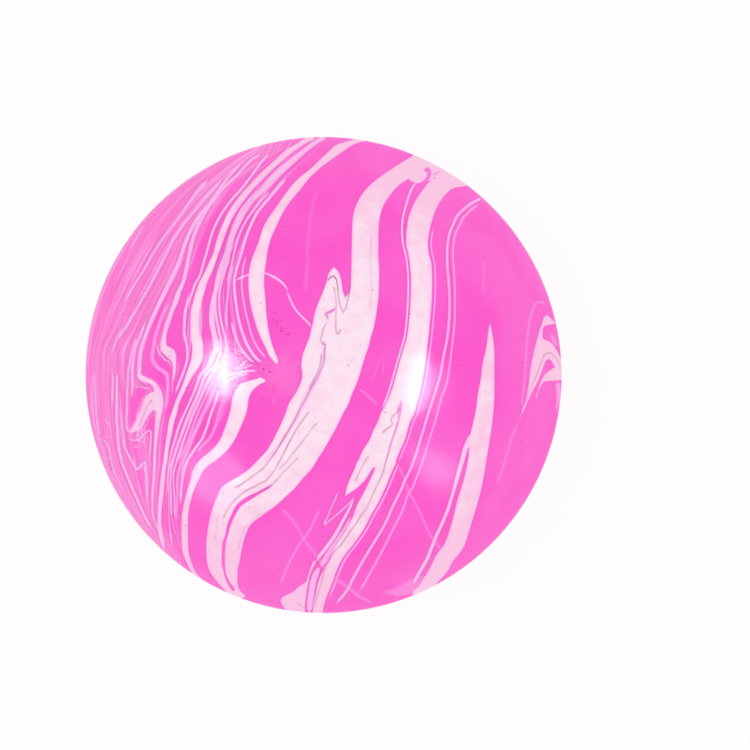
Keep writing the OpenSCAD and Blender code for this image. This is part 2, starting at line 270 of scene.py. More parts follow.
# Thin pale threads, each with its strength, width and soft edge, and its route as (across, along)
THREADS = (
    ("thread beside the fork", 0.75, 0.2, 0.12, (
        (10.2, 20.9), (9.75, 20.4), (9.35, 19.8), (9.0, 18.8), (8.7, 17.8), (8.5, 17.0), (8.38, 16.0),
        (8.38, 15.0), (8.48, 14.0), (8.72, 13.0), (8.9, 12.0), (9.05, 10.0), (9.0, 8.0), (8.87, 6.0),
        (8.62, 4.0), (8.03, 2.0), (7.48, 0.0), (6.88, -2.0), (6.35, -3.3), (6.1, -3.8),
    )),
    ("first thin thread", 0.6, 0.25, 0.14, (
        (17.2, 18.95), (16.5, 18.75), (15.6, 18.2), (14.9, 17.65), (14.2, 16.9), (13.8, 16.0),
        (13.5, 15.3), (13.3, 14.4), (13.2, 13.4), (13.2, 11.8), (13.35, 10.0), (13.45, 8.0), (13.4, 6.0),
        (13.2, 4.0), (12.8, 2.0), (12.45, 0.0), (11.85, -2.0), (11.2, -4.0), (10.6, -6.0), (10.0, -8.0),
        (9.3, -10.0), (8.8, -11.0), (8.6, -11.4), (8.3, -12.2), (7.4, -14.0), (6.5, -16.0), (5.3, -18.0),
        (4.1, -20.0), (3.0, -22.0), (2.5, -23.0), (1.2, -24.6),
    )),
    ("second thin thread", 0.42, 0.2, 0.14, (
        (17.0, 18.3), (16.0, 17.9), (15.4, 17.3), (14.9, 16.8), (14.5, 15.95), (14.1, 15.2), (13.9, 14.2),
        (13.8, 12.8), (13.9, 11.2), (14.0, 9.6), (14.0, 8.0), (14.0, 5.9), (13.8, 3.8), (13.6, 2.2),
        (13.4, 0.55), (13.1, -1.0), (12.5, -2.65), (12.1, -4.25), (11.6, -5.9), (11.1, -7.5),
        (10.3, -10.0), (9.5, -12.0), (9.0, -12.8), (8.4, -14.5), (7.4, -16.5), (6.3, -18.7), (5.2, -20.7),
        (4.2, -22.5), (3.6, -23.3),
    )),
    ("companion of the blade", 0.9, 0.3, 0.14, (
        (15.8, -6.0, 0.3), (15.6, -6.7, 0.5), (15.35, -7.4, 0.5), (15.1, -8.0, 0.5), (14.8, -9.1, 0.45),
        (14.5, -10.1, 0.4), (14.2, -11.2, 0.35), (13.9, -12.3), (13.6, -13.3), (13.25, -14.4),
        (12.8, -15.5), (12.35, -16.5), (11.95, -17.4), (11.65, -18.15), (11.35, -18.9), (11.0, -19.75),
        (10.5, -20.6), (10.0, -21.5), (9.4, -22.6),
    )),
    ("thread under the lobe", 0.85, 0.34, 0.12, (
        (3.3, -12.8, 0.15), (2.95, -13.8, 0.2), (2.15, -15.4, 0.28), (1.15, -17.2), (0.15, -18.6),
        (-0.4, -19.3), (-0.85, -20.1),
    )),
    ("strip under the lobe", 0.6, 0.5, 0.3, (
        (3.05, -14.8, 0.1), (2.4, -16.1, 0.3), (1.65, -17.3, 0.42), (0.9, -18.5), (0.35, -19.4),
        (-0.05, -20.1), (-0.4, -20.8, 0.4),
    )),
    ("thread of the drop", 0.7, 0.6, 0.18, (
        (-0.35, -20.3, 0.4), (-0.7, -20.9, 0.5), (-0.95, -21.5, 0.55), (-1.15, -22.2), (-1.3, -23.1),
        (-1.42, -24.0), (-1.5, -24.9), (-1.55, -25.6),
    )),
    ("wash at the foot of the blade", 0.2, 1.0, 1.2, (
        (7.4, -23.7, 0.8), (8.4, -23.2), (9.3, -22.7), (10.3, -22.0), (11.4, -21.2, 0.8),
    )),
    ("zigzag under the lobe", 0.55, 0.13, 0.1, (
        (1.7, -12.1), (1.3, -13.1), (0.8, -14.2), (0.35, -15.3), (0.08, -15.85), (0.2, -15.95),
        (0.55, -15.6), (1.0, -15.25), (2.0, -14.4), (2.8, -13.6), (3.3, -12.8),
    )),
    ("faint line in the wide pink", 0.1, 0.3, 0.4, (
        (-0.6, 20.0), (-1.2, 18.0), (-1.5, 16.0), (-1.7, 14.0), (-1.75, 12.0), (-1.9, 10.0), (-2.1, 8.5),
    )),
    ("faint line over the crease", 0.25, 0.22, 0.14, (
        (-0.3, -14.0), (-0.9, -15.3), (-1.5, -16.6), (-2.0, -17.3), (-2.4, -17.8), (-2.9, -18.6),
        (-3.4, -19.5), (-3.9, -20.5), (-4.3, -21.5), (-4.8, -22.7),
    )),
    ("faint line between the ribbons", 0.14, 0.14, 0.2, (
        (6.2, 2.3), (5.85, 1.2), (5.45, 0.1), (5.1, -0.9),
    )),
    ("second faint line between the ribbons", 0.12, 0.14, 0.2, (
        (6.25, 2.3), (6.35, 1.2), (6.3, 0.2), (6.1, -0.8),
    )),
    ("faint line on the right", 0.12, 0.2, 0.3, ((17.2, 12.8), (17.1, 10.5), (17.0, 8.0))),
    ("trail of the rim fold", 0.16, 0.25, 0.35, (
        (20.9, -4.7), (20.4, -5.9), (20.0, -7.0), (19.6, -8.4), (19.1, -10.0), (18.4, -12.0),
    )),
    ("outline of the rim fold", 0.22, 0.22, 0.18, (
        (21.1, -3.6), (21.45, -0.5), (21.65, 2.5), (21.9, 5.2), (22.3, 6.9), (22.8, 7.75), (23.3, 7.8),
        (23.9, 7.3),
    )),
    ("haze in the rim fold", 0.3, 0.3, 0.5, ((24.1, 4.9), (24.35, 4.2), (24.7, 3.5), (25.1, 2.6))),
    ("leg of the rim fold", 0.4, 0.5, 0.4, (
        (24.95, -0.4, 0.7), (25.05, -1.2, 0.5), (25.1, -2.2, 0.4), (25.0, -3.2, 0.3), (24.8, -4.2, 0.2),
    )),
    # The left side, from the slim ribbon outwards
    ("left thread 1", 0.5, 0.2, 0.12, (
        (-8.2, 13.0), (-8.6, 11.5), (-8.75, 10.0), (-8.7, 9.0), (-8.4, 7.0), (-8.15, 6.0), (-7.9, 5.0),
        (-7.6, 4.0), (-7.1, 3.0), (-6.5, 2.2), (-6.0, 1.6),
    )),
    ("left thread 8", 0.65, 0.2, 0.12, (
        (-5.6, 19.8), (-6.7, 18.6), (-7.8, 17.2), (-8.5, 16.1), (-9.05, 14.9), (-9.5, 13.3), (-9.9, 11.6),
        (-10.4, 9.4),
    )),
    ("left thread 2", 0.75, 0.28, 0.12, (
        (-3.9, 21.2), (-5.5, 19.3), (-6.6, 18.0), (-7.3, 17.0), (-8.2, 15.0), (-8.8, 13.0), (-9.4, 11.0),
        (-9.55, 10.0), (-9.5, 8.7), (-9.1, 6.0), (-8.5, 4.0), (-8.05, 3.0), (-7.4, 2.0), (-6.9, 1.5),
        (-6.45, 1.1),
    )),
    ("left thread 3", 0.7, 0.24, 0.12, (
        (-9.9, 6.0), (-9.7, 5.0), (-9.35, 4.0), (-8.95, 3.0), (-8.2, 2.0), (-7.7, 1.5), (-7.2, 1.1),
    )),
    ("left thread 4", 0.6, 0.22, 0.12, (
        (-9.6, 12.0), (-10.1, 10.0), (-10.3, 8.0), (-10.4, 6.0), (-10.2, 4.6),
    )),
    ("left thread 5", 0.75, 0.24, 0.12, (
        (-9.9, 13.0), (-10.6, 11.0), (-11.1, 9.0), (-11.15, 7.0), (-10.8, 5.0), (-10.5, 4.0),
        (-10.35, 2.8), (-10.7, 1.7), (-11.15, 1.0), (-12.0, 0.0), (-12.95, -2.0, 0.22),
        (-13.4, -3.0, 0.22), (-13.85, -4.0, 0.22), (-14.24, -5.0, 0.22), (-14.98, -7.0, 0.2),
        (-15.65, -9.0, 0.16), (-16.05, -11.0, 0.14), (-15.95, -13.0, 0.14), (-15.9, -15.5, 0.14),
    )),
    ("left thread 7", 0.75, 0.28, 0.12, (
        (-10.4, 13.0), (-11.1, 11.0), (-11.5, 9.0), (-11.55, 7.0), (-11.25, 5.0), (-11.05, 4.0),
        (-10.98, 3.0), (-11.2, 2.0), (-11.6, 1.0), (-12.6, 0.0), (-13.4, -2.0), (-13.86, -3.0),
        (-14.3, -4.0, 0.32), (-14.68, -5.0, 0.34), (-15.4, -7.0, 0.28), (-16.02, -9.0, 0.2),
        (-16.38, -11.0, 0.16), (-16.3, -13.0, 0.15), (-16.25, -15.5, 0.14),
    )),
    ("left thread 6", 0.8, 0.22, 0.12, (
        (-5.7, 23.9), (-6.5, 22.9), (-7.2, 22.0), (-8.6, 20.1), (-10.0, 18.5), (-11.1, 16.9),
        (-11.9, 15.2), (-12.4, 13.4), (-12.8, 12.1), (-13.2, 10.7), (-13.75, 9.6), (-14.2, 8.4),
        (-14.75, 7.0), (-14.88, 6.0), (-14.9, 5.0), (-14.8, 4.0), (-14.6, 3.0), (-14.55, 2.0),
        (-14.75, 1.0), (-15.1, 0.0), (-15.5, -1.0), (-15.9, -2.2),
    )),
    ("outer fold thread", 0.8, 0.34, 0.14, (
        (-8.6, 22.8, 0.2), (-9.6, 21.8, 0.2), (-10.6, 20.6, 0.22), (-11.5, 19.3, 0.24),
        (-12.3, 18.2, 0.26), (-13.2, 17.1, 0.28), (-14.1, 15.6), (-14.8, 14.0), (-15.5, 12.0),
        (-16.15, 10.6), (-16.8, 9.3), (-17.4, 8.0), (-18.0, 6.7), (-18.35, 6.0), (-18.75, 5.0),
        (-19.1, 4.0), (-19.42, 3.0), (-19.62, 2.0), (-19.7, 1.0), (-19.68, 0.2, 0.5), (-19.6, -0.2, 0.5),
    )),
    ("inner fold thread", 0.75, 0.36, 0.16, (
        (-6.6, 23.8, 0.2), (-7.9, 22.8, 0.2), (-9.3, 21.3, 0.22), (-10.6, 20.1, 0.24),
        (-11.6, 18.8, 0.26), (-12.5, 17.6, 0.28), (-13.2, 16.4), (-13.7, 15.3), (-14.1, 14.0),
        (-14.4, 12.7), (-14.65, 11.4), (-14.95, 10.1), (-15.3, 9.2), (-15.7, 8.2),
    )),
    ("lip of the inner fold", 0.6, 0.15, 0.1, (
        (-17.75, 3.7), (-17.75, 3.0), (-17.65, 2.55), (-17.4, 2.2), (-17.1, 1.85), (-16.95, 1.6),
        (-16.7, 1.5), (-16.45, 1.4), (-16.35, 1.1), (-16.35, 0.5),
    )),
    ("thread between the folds", 0.38, 0.36, 0.2, (
        (-16.4, 8.0), (-17.2, 6.4), (-17.7, 5.0), (-18.0, 4.0), (-18.15, 3.0), (-18.3, 2.2),
        (-18.25, 1.6), (-18.05, 1.2), (-17.8, 0.9), (-17.3, 0.5), (-16.9, 0.2), (-16.7, -0.2),
        (-16.65, -1.0), (-16.7, -2.1), (-16.95, -4.0),
    )),
    ("thread by the left rim", 0.65, 0.25, 0.14, (
        (-10.8, 20.9), (-11.8, 19.8), (-12.9, 18.6), (-13.9, 17.4), (-14.8, 16.3), (-15.9, 14.7),
        (-16.6, 13.4), (-17.3, 12.0), (-18.0, 10.7), (-18.65, 9.4), (-19.3, 8.3), (-19.9, 7.2),
        (-20.5, 6.2), (-21.0, 5.3), (-21.6, 4.4), (-22.1, 3.5),
    )),
    ("bright start by the left rim", 0.6, 0.2, 0.14, (
        (-12.3, 21.0, 0.3), (-12.8, 20.4, 0.4), (-13.4, 19.7, 0.34), (-14.3, 18.5, 0.26), (-15.2, 17.2),
        (-16.1, 16.0), (-17.3, 14.4), (-18.3, 12.8), (-19.1, 11.4), (-20.0, 10.0), (-20.7, 8.8),
        (-21.4, 7.5),
    )),
    ("second thread by the left rim", 0.5, 0.2, 0.14, (
        (-21.3, 5.4), (-21.7, 4.7), (-22.0, 4.1), (-22.4, 3.0), (-22.8, 1.8),
    )),
    ("thread outside the fold", 0.65, 0.26, 0.14, (
        (-18.9, 5.8), (-19.28, 5.0), (-19.65, 4.0), (-20.1, 3.0), (-20.28, 2.0), (-20.4, 1.0),
        (-20.45, 0.0), (-20.42, -1.0), (-20.5, -2.0), (-20.6, -2.6),
    )),
    ("hook of the fold", 0.6, 0.22, 0.12, (
        (-20.1, -5.9), (-20.4, -6.05), (-20.7, -6.1), (-20.95, -5.9), (-21.05, -5.3), (-21.05, -4.5),
        (-21.0, -3.5), (-21.0, -2.5), (-20.95, -1.5), (-20.9, -0.5), (-20.85, 0.5), (-20.6, 2.0),
        (-20.3, 3.2), (-19.9, 4.4),
    )),
    ("shelf under the fold", 0.5, 0.15, 0.1, (
        (-20.05, -1.15), (-19.4, -1.3), (-18.85, -1.45), (-18.5, -1.4), (-18.38, -1.15),
    )),
    ("line under the hook", 0.55, 0.17, 0.1, (
        (-20.95, -6.5), (-20.7, -6.85), (-20.3, -7.0), (-19.9, -6.9), (-19.5, -6.65), (-19.15, -6.3),
        (-18.85, -6.0), (-18.6, -5.9), (-18.47, -6.1), (-18.45, -6.6), (-18.5, -7.6), (-18.55, -9.0),
    )),
    ("wisp under the hook", 0.4, 0.16, 0.12, (
        (-20.6, -7.5), (-20.1, -7.68), (-19.6, -7.6), (-19.3, -7.3),
    )),
    ("zigzag by the rim", 0.65, 0.2, 0.12, (
        (-21.45, -6.0), (-21.35, -7.0), (-21.2, -7.8), (-20.9, -8.4), (-20.6, -9.0), (-20.3, -9.6),
        (-20.1, -9.95), (-19.85, -10.05), (-19.6, -9.8), (-19.3, -9.45), (-19.1, -9.3), (-19.0, -9.6),
        (-18.9, -10.3), (-18.85, -11.2), (-18.85, -12.5), (-18.8, -13.6),
    )),
    ("thread below the rim", 0.75, 0.23, 0.12, (
        (-22.05, 0.5), (-22.1, -2.0), (-22.12, -4.0), (-22.1, -5.0), (-22.0, -6.0), (-21.95, -7.0),
        (-21.85, -8.0), (-21.65, -8.7), (-21.5, -9.5), (-21.2, -10.2), (-20.9, -11.0), (-20.6, -11.7),
        (-20.3, -12.5), (-19.95, -13.2), (-19.6, -14.0), (-18.9, -15.5), (-18.2, -16.6),
    )),
    ("thread above it", 0.6, 0.2, 0.12, ((-22.55, 0.6), (-22.5, -1.0), (-22.55, -2.0), (-22.5, -3.4))),
    ("outermost thread", 0.55, 0.17, 0.12, (
        (-23.75, -6.7), (-23.45, -6.95), (-23.2, -7.25), (-22.95, -7.8), (-22.8, -8.5), (-22.7, -9.2),
        (-22.55, -9.8), (-22.4, -10.4), (-22.1, -11.2),
    )),
    ("wisp by the outermost thread", 0.4, 0.14, 0.1, ((-23.6, -6.6), (-23.1, -6.62), (-22.6, -6.66))),
    ("rim line 1", 0.45, 0.2, 0.14, ((-24.5, 0.6), (-24.45, -1.5), (-24.2, -4.5))),
    ("rim line 2", 0.45, 0.18, 0.12, ((-18.9, 16.3), (-19.5, 15.5), (-20.2, 14.3), (-20.9, 13.0))),
    ("rim line 3", 0.45, 0.18, 0.12, ((-23.5, -4.3), (-23.2, -4.9), (-22.8, -5.6))),
    ("slanted thread 1", 0.45, 0.22, 0.16, (
        (-11.4, 0.1), (-12.0, -1.0), (-12.45, -2.0), (-12.95, -3.0), (-13.4, -4.0), (-13.8, -5.0),
        (-14.45, -7.0), (-15.2, -9.0), (-15.6, -11.0), (-15.65, -13.0), (-15.8, -16.0),
    )),
    ("smear below the hub", 0.25, 0.3, 1.0, (
        (-10.4, -1.4), (-10.6, -2.6), (-10.85, -3.6), (-11.15, -4.5), (-11.5, -5.8),
    )),
    ("slanted thread 2", 0.45, 0.4, 0.2, (
        (-11.3, -0.6), (-11.9, -2.0), (-12.5, -3.4), (-12.9, -4.2), (-13.25, -5.0), (-14.15, -7.0),
        (-14.75, -8.6), (-15.05, -10.0), (-15.2, -11.4),
    )),
    ("slanted thread 3", 0.75, 0.24, 0.12, (
        (-10.9, -1.2), (-11.3, -2.0), (-11.6, -3.0), (-12.0, -4.0), (-12.3, -5.0), (-12.75, -6.3),
        (-13.1, -7.0), (-13.7, -7.8), (-14.3, -8.7), (-14.7, -9.6), (-15.0, -10.6), (-15.2, -12.0),
        (-15.3, -14.0),
    )),
    ("slanted thread 4", 0.35, 0.28, 0.16, (
        (-10.6, -2.2), (-10.9, -3.2), (-11.2, -4.0), (-11.4, -5.0), (-12.0, -6.5), (-12.4, -7.0),
        (-13.0, -7.6), (-13.7, -8.5),
    )),
    # Partly the pale of the streaks that meet here, partly a painted highlight: a soft white glow round the
    # left box's glint
    ("hub of the left streaks and painted glow", 0.75, 0.3, 1.5, (
        (-10.4, 3.0), (-10.5, 1.8, 0.6), (-10.6, 0.9, 0.9), (-10.65, 0.1, 1.1), (-10.6, -0.8, 0.9),
        (-10.6, -1.7, 0.5), (-10.7, -2.8),
    )),
    ("line into the port 1", 0.8, 0.24, 0.12, (
        (-10.8, -0.4), (-10.0, 0.0), (-9.0, 0.25), (-8.2, 0.4), (-7.6, 0.45), (-6.9, 0.43),
    )),
    ("line into the port 2", 0.55, 0.3, 0.14, (
        (-10.8, -0.9), (-10.0, -0.45), (-9.2, -0.1), (-8.5, 0.05), (-7.8, 0.1),
    )),
    ("line into the port 3", 0.6, 0.18, 0.1, (
        (-9.8, 0.4), (-9.0, 0.6), (-8.3, 0.85), (-7.7, 1.05), (-7.1, 1.15),
    )),
    ("line into the port 4", 0.6, 0.2, 0.1, (
        (-9.9, 0.55), (-9.2, 0.75), (-8.7, 1.05), (-8.3, 1.5), (-7.95, 1.8),
    )),
    ("line into the port 5", 0.5, 0.16, 0.1, ((-9.5, 2.75), (-9.1, 2.65), (-8.6, 2.3), (-8.2, 1.95))),
)

# Thin mauve lines, where the two colours have run into each other, and one dark line painted as shade in a
# crease, in the form of the threads
INK_LINES = (
    ("tongue's line", 0.8, 0.15, 0.1, (
        (0.35, 9.75), (0.55, 10.2), (0.8, 10.5), (1.1, 10.58), (1.35, 10.2), (1.5, 9.3), (1.6, 8.2),
        (1.85, 7.2), (2.05, 6.7), (2.3, 7.0), (2.55, 7.9), (2.75, 9.0), (2.85, 10.0),
    )),
    ("inner line of the tongue", 0.65, 0.15, 0.1, (
        (0.85, 9.65), (1.1, 9.3), (1.25, 8.5), (1.35, 7.5), (1.3, 6.5), (1.3, 5.6), (1.3, 4.9),
        (1.4, 4.4), (1.6, 4.4), (1.75, 4.8), (1.7, 5.2),
    )),
    ("curl in the broad ribbon", 0.7, 0.24, 0.12, (
        (1.3, 7.15), (1.0, 6.9), (0.6, 6.75), (0.3, 6.6), (0.25, 6.3), (0.45, 6.05), (0.3, 5.9),
    )),
    ("curl's tail", 0.7, 0.16, 0.1, (
        (0.6, 5.85), (0.2, 5.4), (-0.1, 4.8), (-0.2, 4.2), (-0.35, 3.8), (-0.15, 3.4), (0.15, 3.25),
        (0.3, 2.95),
    )),
    ("line down the broad ribbon", 0.7, 0.18, 0.1, (
        (0.2, 3.3), (0.1, 2.6), (0.05, 1.5), (-0.4, 0.3), (-0.8, -0.5), (-1.4, -1.5), (-1.8, -2.3),
        (-2.3, -3.2), (-2.7, -4.0), (-3.2, -5.0), (-3.8, -6.0), (-4.4, -7.0), (-5.0, -8.0), (-5.7, -9.0),
        (-6.3, -9.8), (-6.9, -10.3), (-8.0, -11.1), (-9.0, -11.8), (-9.7, -12.2),
    )),
    ("second line down the broad ribbon", 0.55, 0.2, 0.12, (
        (-0.2, 2.6), (-0.3, 1.5), (-0.65, 0.3), (-1.2, -0.8), (-1.7, -1.8),
    )),
    ("third line down the broad ribbon", 0.65, 0.18, 0.12, (
        (-1.4, -3.6), (-2.0, -4.5), (-2.8, -5.6), (-3.3, -6.5), (-4.0, -7.8), (-5.0, -9.7), (-6.0, -11.1),
        (-7.0, -11.7), (-8.0, -12.2), (-9.0, -12.9), (-9.9, -13.8), (-10.5, -14.8), (-10.8, -15.5),
    )),
    ("line above the sliver", 0.5, 0.16, 0.14, (
        (-2.5, -8.5), (-3.5, -9.6), (-4.4, -10.5), (-5.1, -11.3), (-6.0, -12.0), (-7.1, -12.6),
        (-8.3, -13.35),
    )),
    ("line inside the broad ribbon's edge", 0.35, 0.12, 0.12, (
        (-5.5, -14.3), (-6.4, -14.7), (-7.25, -15.2), (-8.0, -15.8), (-8.5, -16.5), (-8.9, -17.6),
        (-9.1, -19.0),
    )),
    ("line inside the broad ribbon's foot", 0.3, 0.14, 0.14, (
        (-11.2, -14.6), (-11.45, -16.2), (-11.6, -18.0),
    )),
    ("fourth line down the broad ribbon", 0.5, 0.16, 0.12, (
        (-0.5, -4.9), (-1.3, -5.8), (-2.2, -7.0), (-3.0, -8.0), (-4.0, -9.3), (-5.0, -10.3),
    )),
    ("first hatch of the upper left", 0.45, 0.08, 0.09, (
        (-11.2, 10.6), (-10.5, 12.8), (-9.95, 15.0), (-9.45, 16.3), (-8.5, 17.8), (-7.4, 19.1),
        (-6.3, 20.3),
    )),
    ("second hatch of the upper left", 0.4, 0.08, 0.09, (
        (-10.85, 11.2), (-10.15, 13.2), (-9.65, 15.0), (-9.15, 16.3), (-8.2, 17.8), (-7.0, 19.2),
    )),
    ("ring below the port", 0.34, 0.12, 0.14, (
        (-7.3, -2.2), (-7.7, -3.2), (-8.0, -4.5), (-8.1, -6.0), (-7.9, -7.8), (-7.5, -8.8), (-7.1, -9.4),
    )),
    ("second ring below the port", 0.28, 0.16, 0.2, (
        (-7.3, -3.8), (-7.45, -5.2), (-7.35, -6.6), (-7.0, -7.8), (-6.5, -8.9),
    )),
    ("grey line in the broad ribbon", 0.3, 0.14, 0.1, (
        (5.1, 15.0), (5.0, 12.5), (5.05, 10.5), (5.1, 9.0), (4.9, 7.0),
    )),
    ("divider of the fork", 0.6, 0.16, 0.1, (
        (7.95, -4.7), (7.7, -5.7), (7.25, -7.0), (6.98, -8.0), (6.62, -9.3), (6.3, -10.5), (5.5, -12.2),
        (5.0, -13.3), (4.6, -14.2), (4.0, -15.0), (3.5, -15.8), (2.9, -16.6), (2.3, -17.5), (1.7, -18.3),
        (1.0, -19.0), (0.6, -19.7), (0.3, -20.3),
    )),
    ("squiggle in the fork", 0.7, 0.2, 0.12, (
        (8.3, -3.3), (7.9, -3.9), (7.45, -4.35), (7.2, -4.85), (7.35, -5.2), (7.1, -5.5), (6.75, -5.75),
        (6.4, -6.1), (6.25, -6.4),
    )),
    ("line in the lobe", 0.5, 0.18, 0.1, (
        (4.9, -8.5), (4.5, -9.1), (4.0, -10.0), (3.6, -10.8), (3.3, -11.7),
    )),
    ("arch in the rim fold", 0.55, 0.13, 0.1, (
        (21.45, -3.4), (21.8, -2.3), (22.3, -0.95), (22.8, 0.1), (23.25, 1.35), (23.6, 2.15),
        (24.05, 2.4), (24.4, 2.3), (24.8, 1.8), (25.2, 1.05), (25.4, 0.6),
    )),
    ("line in the foot of the fork", 0.55, 0.14, 0.12, (
        (0.2, -20.6), (0.05, -21.0), (-0.2, -22.0), (-0.5, -23.0), (-0.8, -24.0), (-1.0, -25.0),
    )),
    ("line beside the drop", 0.5, 0.14, 0.12, (
        (-0.85, -20.2), (-1.3, -20.9), (-1.5, -21.6), (-1.6, -22.4), (-1.8, -23.6), (-1.95, -24.8),
    )),
    ("branch of the knot", 0.4, 0.2, 0.15, ((11.55, 21.25), (11.9, 21.5), (12.3, 21.7), (12.8, 21.8))),
    ("line beside the thread under the lobe", 0.5, 0.12, 0.12, (
        (2.6, -15.4), (1.95, -16.5), (1.3, -17.5), (0.6, -18.45), (0.0, -19.2), (-0.35, -19.8),
    )),
    ("line in the strip under the lobe", 0.4, 0.1, 0.1, (
        (2.5, -16.2), (1.85, -17.2), (1.15, -18.3), (0.55, -19.2), (0.15, -19.9),
    )),
    ("mark in the broad ribbon", 0.45, 0.1, 0.1, ((3.2, 2.15), (3.05, 1.75), (2.9, 1.45), (3.0, 1.15))),
    ("second mark in the broad ribbon", 0.35, 0.1, 0.1, ((2.75, 0.8), (2.5, 0.5), (2.7, 0.2))),
    ("third mark in the broad ribbon", 0.35, 0.1, 0.1, ((-0.65, -1.2), (-0.55, -1.6), (-0.75, -2.0))),
    ("stroke in the drop", 0.4, 0.26, 0.2, ((-3.0, -24.1), (-2.6, -24.5), (-2.1, -24.9))),
    # Painted shade: a dark line across the threads where the skin is creased
    ("crease across the threads", 0.8, 0.1, 0.1, ((-1.25, -20.0), (-0.8, -19.97), (-0.35, -20.15))),
    ("curl at the crease", 0.6, 0.1, 0.1, (
        (0.45, -20.95), (0.25, -20.75), (0.05, -20.78), (-0.1, -20.95),
    )),
    ("notch at the crease", 0.6, 0.1, 0.1, ((1.2, -21.35), (1.55, -21.7), (1.3, -21.95), (1.7, -22.1))),
    ("line in the fold's strand", 0.7, 0.13, 0.1, (
        (-18.05, -2.65), (-18.4, -2.75), (-18.7, -3.05), (-18.95, -3.6), (-19.15, -4.1), (-19.4, -4.7),
        (-19.65, -5.3), (-19.9, -5.8),
    )),
    ("squiggle in the inner fold", 0.85, 0.14, 0.1, (
        (-17.5, 2.5), (-17.25, 2.2), (-16.95, 2.0), (-16.85, 1.8), (-16.6, 1.6),
    )),
    ("dot in the inner fold", 0.8, 0.16, 0.1, ((-16.65, 2.02), (-16.5, 1.98), (-16.35, 1.95))),
    ("dark line under the hook", 0.5, 0.16, 0.1, (
        (-20.6, -6.3), (-20.2, -6.35), (-19.85, -6.15), (-19.6, -6.4), (-19.75, -6.65), (-19.5, -6.6),
    )),
    ("dark line over the shelf", 0.6, 0.14, 0.1, (
        (-20.1, -0.75), (-19.6, -0.9), (-19.0, -1.1), (-18.55, -1.1),
    )),
    ("dark line by the port", 0.9, 0.14, 0.1, ((-9.55, 2.55), (-9.1, 2.4), (-8.7, 2.1), (-8.4, 1.85))),
    ("second dark line by the port", 0.7, 0.12, 0.1, (
        (-7.75, 1.45), (-7.4, 1.25), (-7.0, 1.1), (-6.6, 0.95),
    )),
)

# Thin threads beside a ribbon's edge: ribbon, side, how far outside, from and to along, strength, width
EDGE_THREADS = (
    ("forked ribbon", "right", 0.27, 16.0, -9.6, 0.5, 0.16),
    ("strand of the fork", "right", 0.27, -9.2, -24.0, 0.6, 0.16),
)

# Pale lines painted along the raised and sunken lines of the skin, painted highlights that show the relief,
# in the form of the threads
PAINTED_RELIEF_HIGHLIGHTS = (
    ("ridge by the port", 0.8, 0.16, 0.12, (
        (-4.0, 9.2), (-3.75, 8.5), (-3.4, 7.7), (-3.0, 7.0), (-2.5, 6.4), (-2.0, 5.9), (-1.6, 5.5),
        (-1.38, 5.0), (-1.45, 4.6),
    )),
    ("ridge over the slim ribbon", 0.75, 0.18, 0.14, (
        (-9.6, 9.9), (-8.7, 10.45), (-7.9, 10.7), (-7.2, 10.85), (-6.4, 10.85), (-5.7, 10.65),
        (-5.05, 10.3), (-4.4, 9.8), (-3.95, 9.2), (-3.75, 8.6),
    )),
    ("upper end of the upper crease", 0.16, 0.24, 0.2, (
        (3.5, -1.2), (4.35, -1.9), (5.3, -2.75), (6.05, -3.5),
    )),
    ("lower end of the lower crease", 0.2, 0.24, 0.2, (
        (0.9, -21.5), (2.6, -22.7), (4.0, -23.8), (5.6, -24.5),
    )),
    ("upper crease", 0.18, 0.22, 0.26, (
        (7.8, -9.2), (8.25, -10.2), (8.6, -11.1), (9.1, -12.4), (10.2, -14.5), (11.3, -16.9),
        (12.3, -18.3), (13.6, -19.9), (14.2, -20.9),
    )),
    ("lower crease", 0.15, 0.26, 0.3, (
        (-4.8, -13.9), (-4.2, -14.6), (-3.2, -15.7), (-2.6, -16.7), (-2.1, -17.6), (-1.4, -18.5),
        (-0.9, -19.1), (0.0, -20.5), (1.3, -21.8), (2.6, -22.7),
    )),
)

# Places where dark specks gather, in the form of the threads
DUST = (
    ("dust at the pinch", 1.0, 0.8, 0.5, ((-7.0, 0.8), (-6.6, 0.7), (-6.0, 0.55), (-5.2, 0.45))),
    ("dust above the port", 0.8, 0.5, 0.5, (
        (-6.0, 7.4), (-5.4, 6.5), (-4.9, 5.7), (-4.3, 4.7), (-3.7, 4.1),
    )),
    ("dust by the broad ribbon", 0.7, 0.3, 0.3, ((-2.6, 1.8), (-2.45, 0.3), (-2.6, -1.2))),
    ("dust under the hook", 0.7, 0.6, 0.4, ((-19.9, -6.3), (-19.5, -7.4), (-19.1, -8.6))),
    ("dust on the left rim", 0.6, 0.5, 0.4, ((-24.2, -5.6), (-23.6, -8.0), (-22.4, -10.5))),
)

# Streams that the finest lines of the left side follow, as (across, along)
STREAMS = (
    (
        (-9.0, 24.5), (-13.0, 21.5), (-18.0, 17.0), (-22.0, 11.0), (-24.3, 5.0), (-25.0, 0.0),
        (-24.6, -6.0), (-22.8, -11.5), (-19.5, -17.0), (-15.0, -21.5),
    ),
    (
        (-7.0, 24.0), (-10.5, 21.2), (-14.7, 16.6), (-18.6, 9.85), (-21.0, 5.4), (-22.8, 1.8),
        (-22.6, -4.0), (-21.7, -9.1), (-19.5, -14.4), (-16.2, -20.0),
    ),
    (
        (-5.5, 23.9), (-9.6, 21.5), (-12.9, 17.1), (-16.0, 10.7), (-18.6, 5.4), (-19.8, 0.5),
        (-18.0, -3.0), (-18.0, -8.5), (-18.3, -13.5), (-15.8, -19.5),
    ),
    (
        (-3.0, 24.5), (-8.0, 20.0), (-11.7, 14.2), (-13.6, 8.4), (-13.7, 4.0), (-14.2, 0.5),
        (-15.6, -3.6), (-16.8, -8.0), (-17.3, -14.0), (-15.2, -19.5),
    ),
    (
        (0.5, 24.3), (-4.4, 19.0), (-7.1, 14.0), (-8.1, 9.6), (-7.4, 5.6), (-7.0, 1.0), (-9.8, -2.2),
        (-11.4, -7.2), (-14.4, -11.2), (-14.6, -19.5),
    ),
)

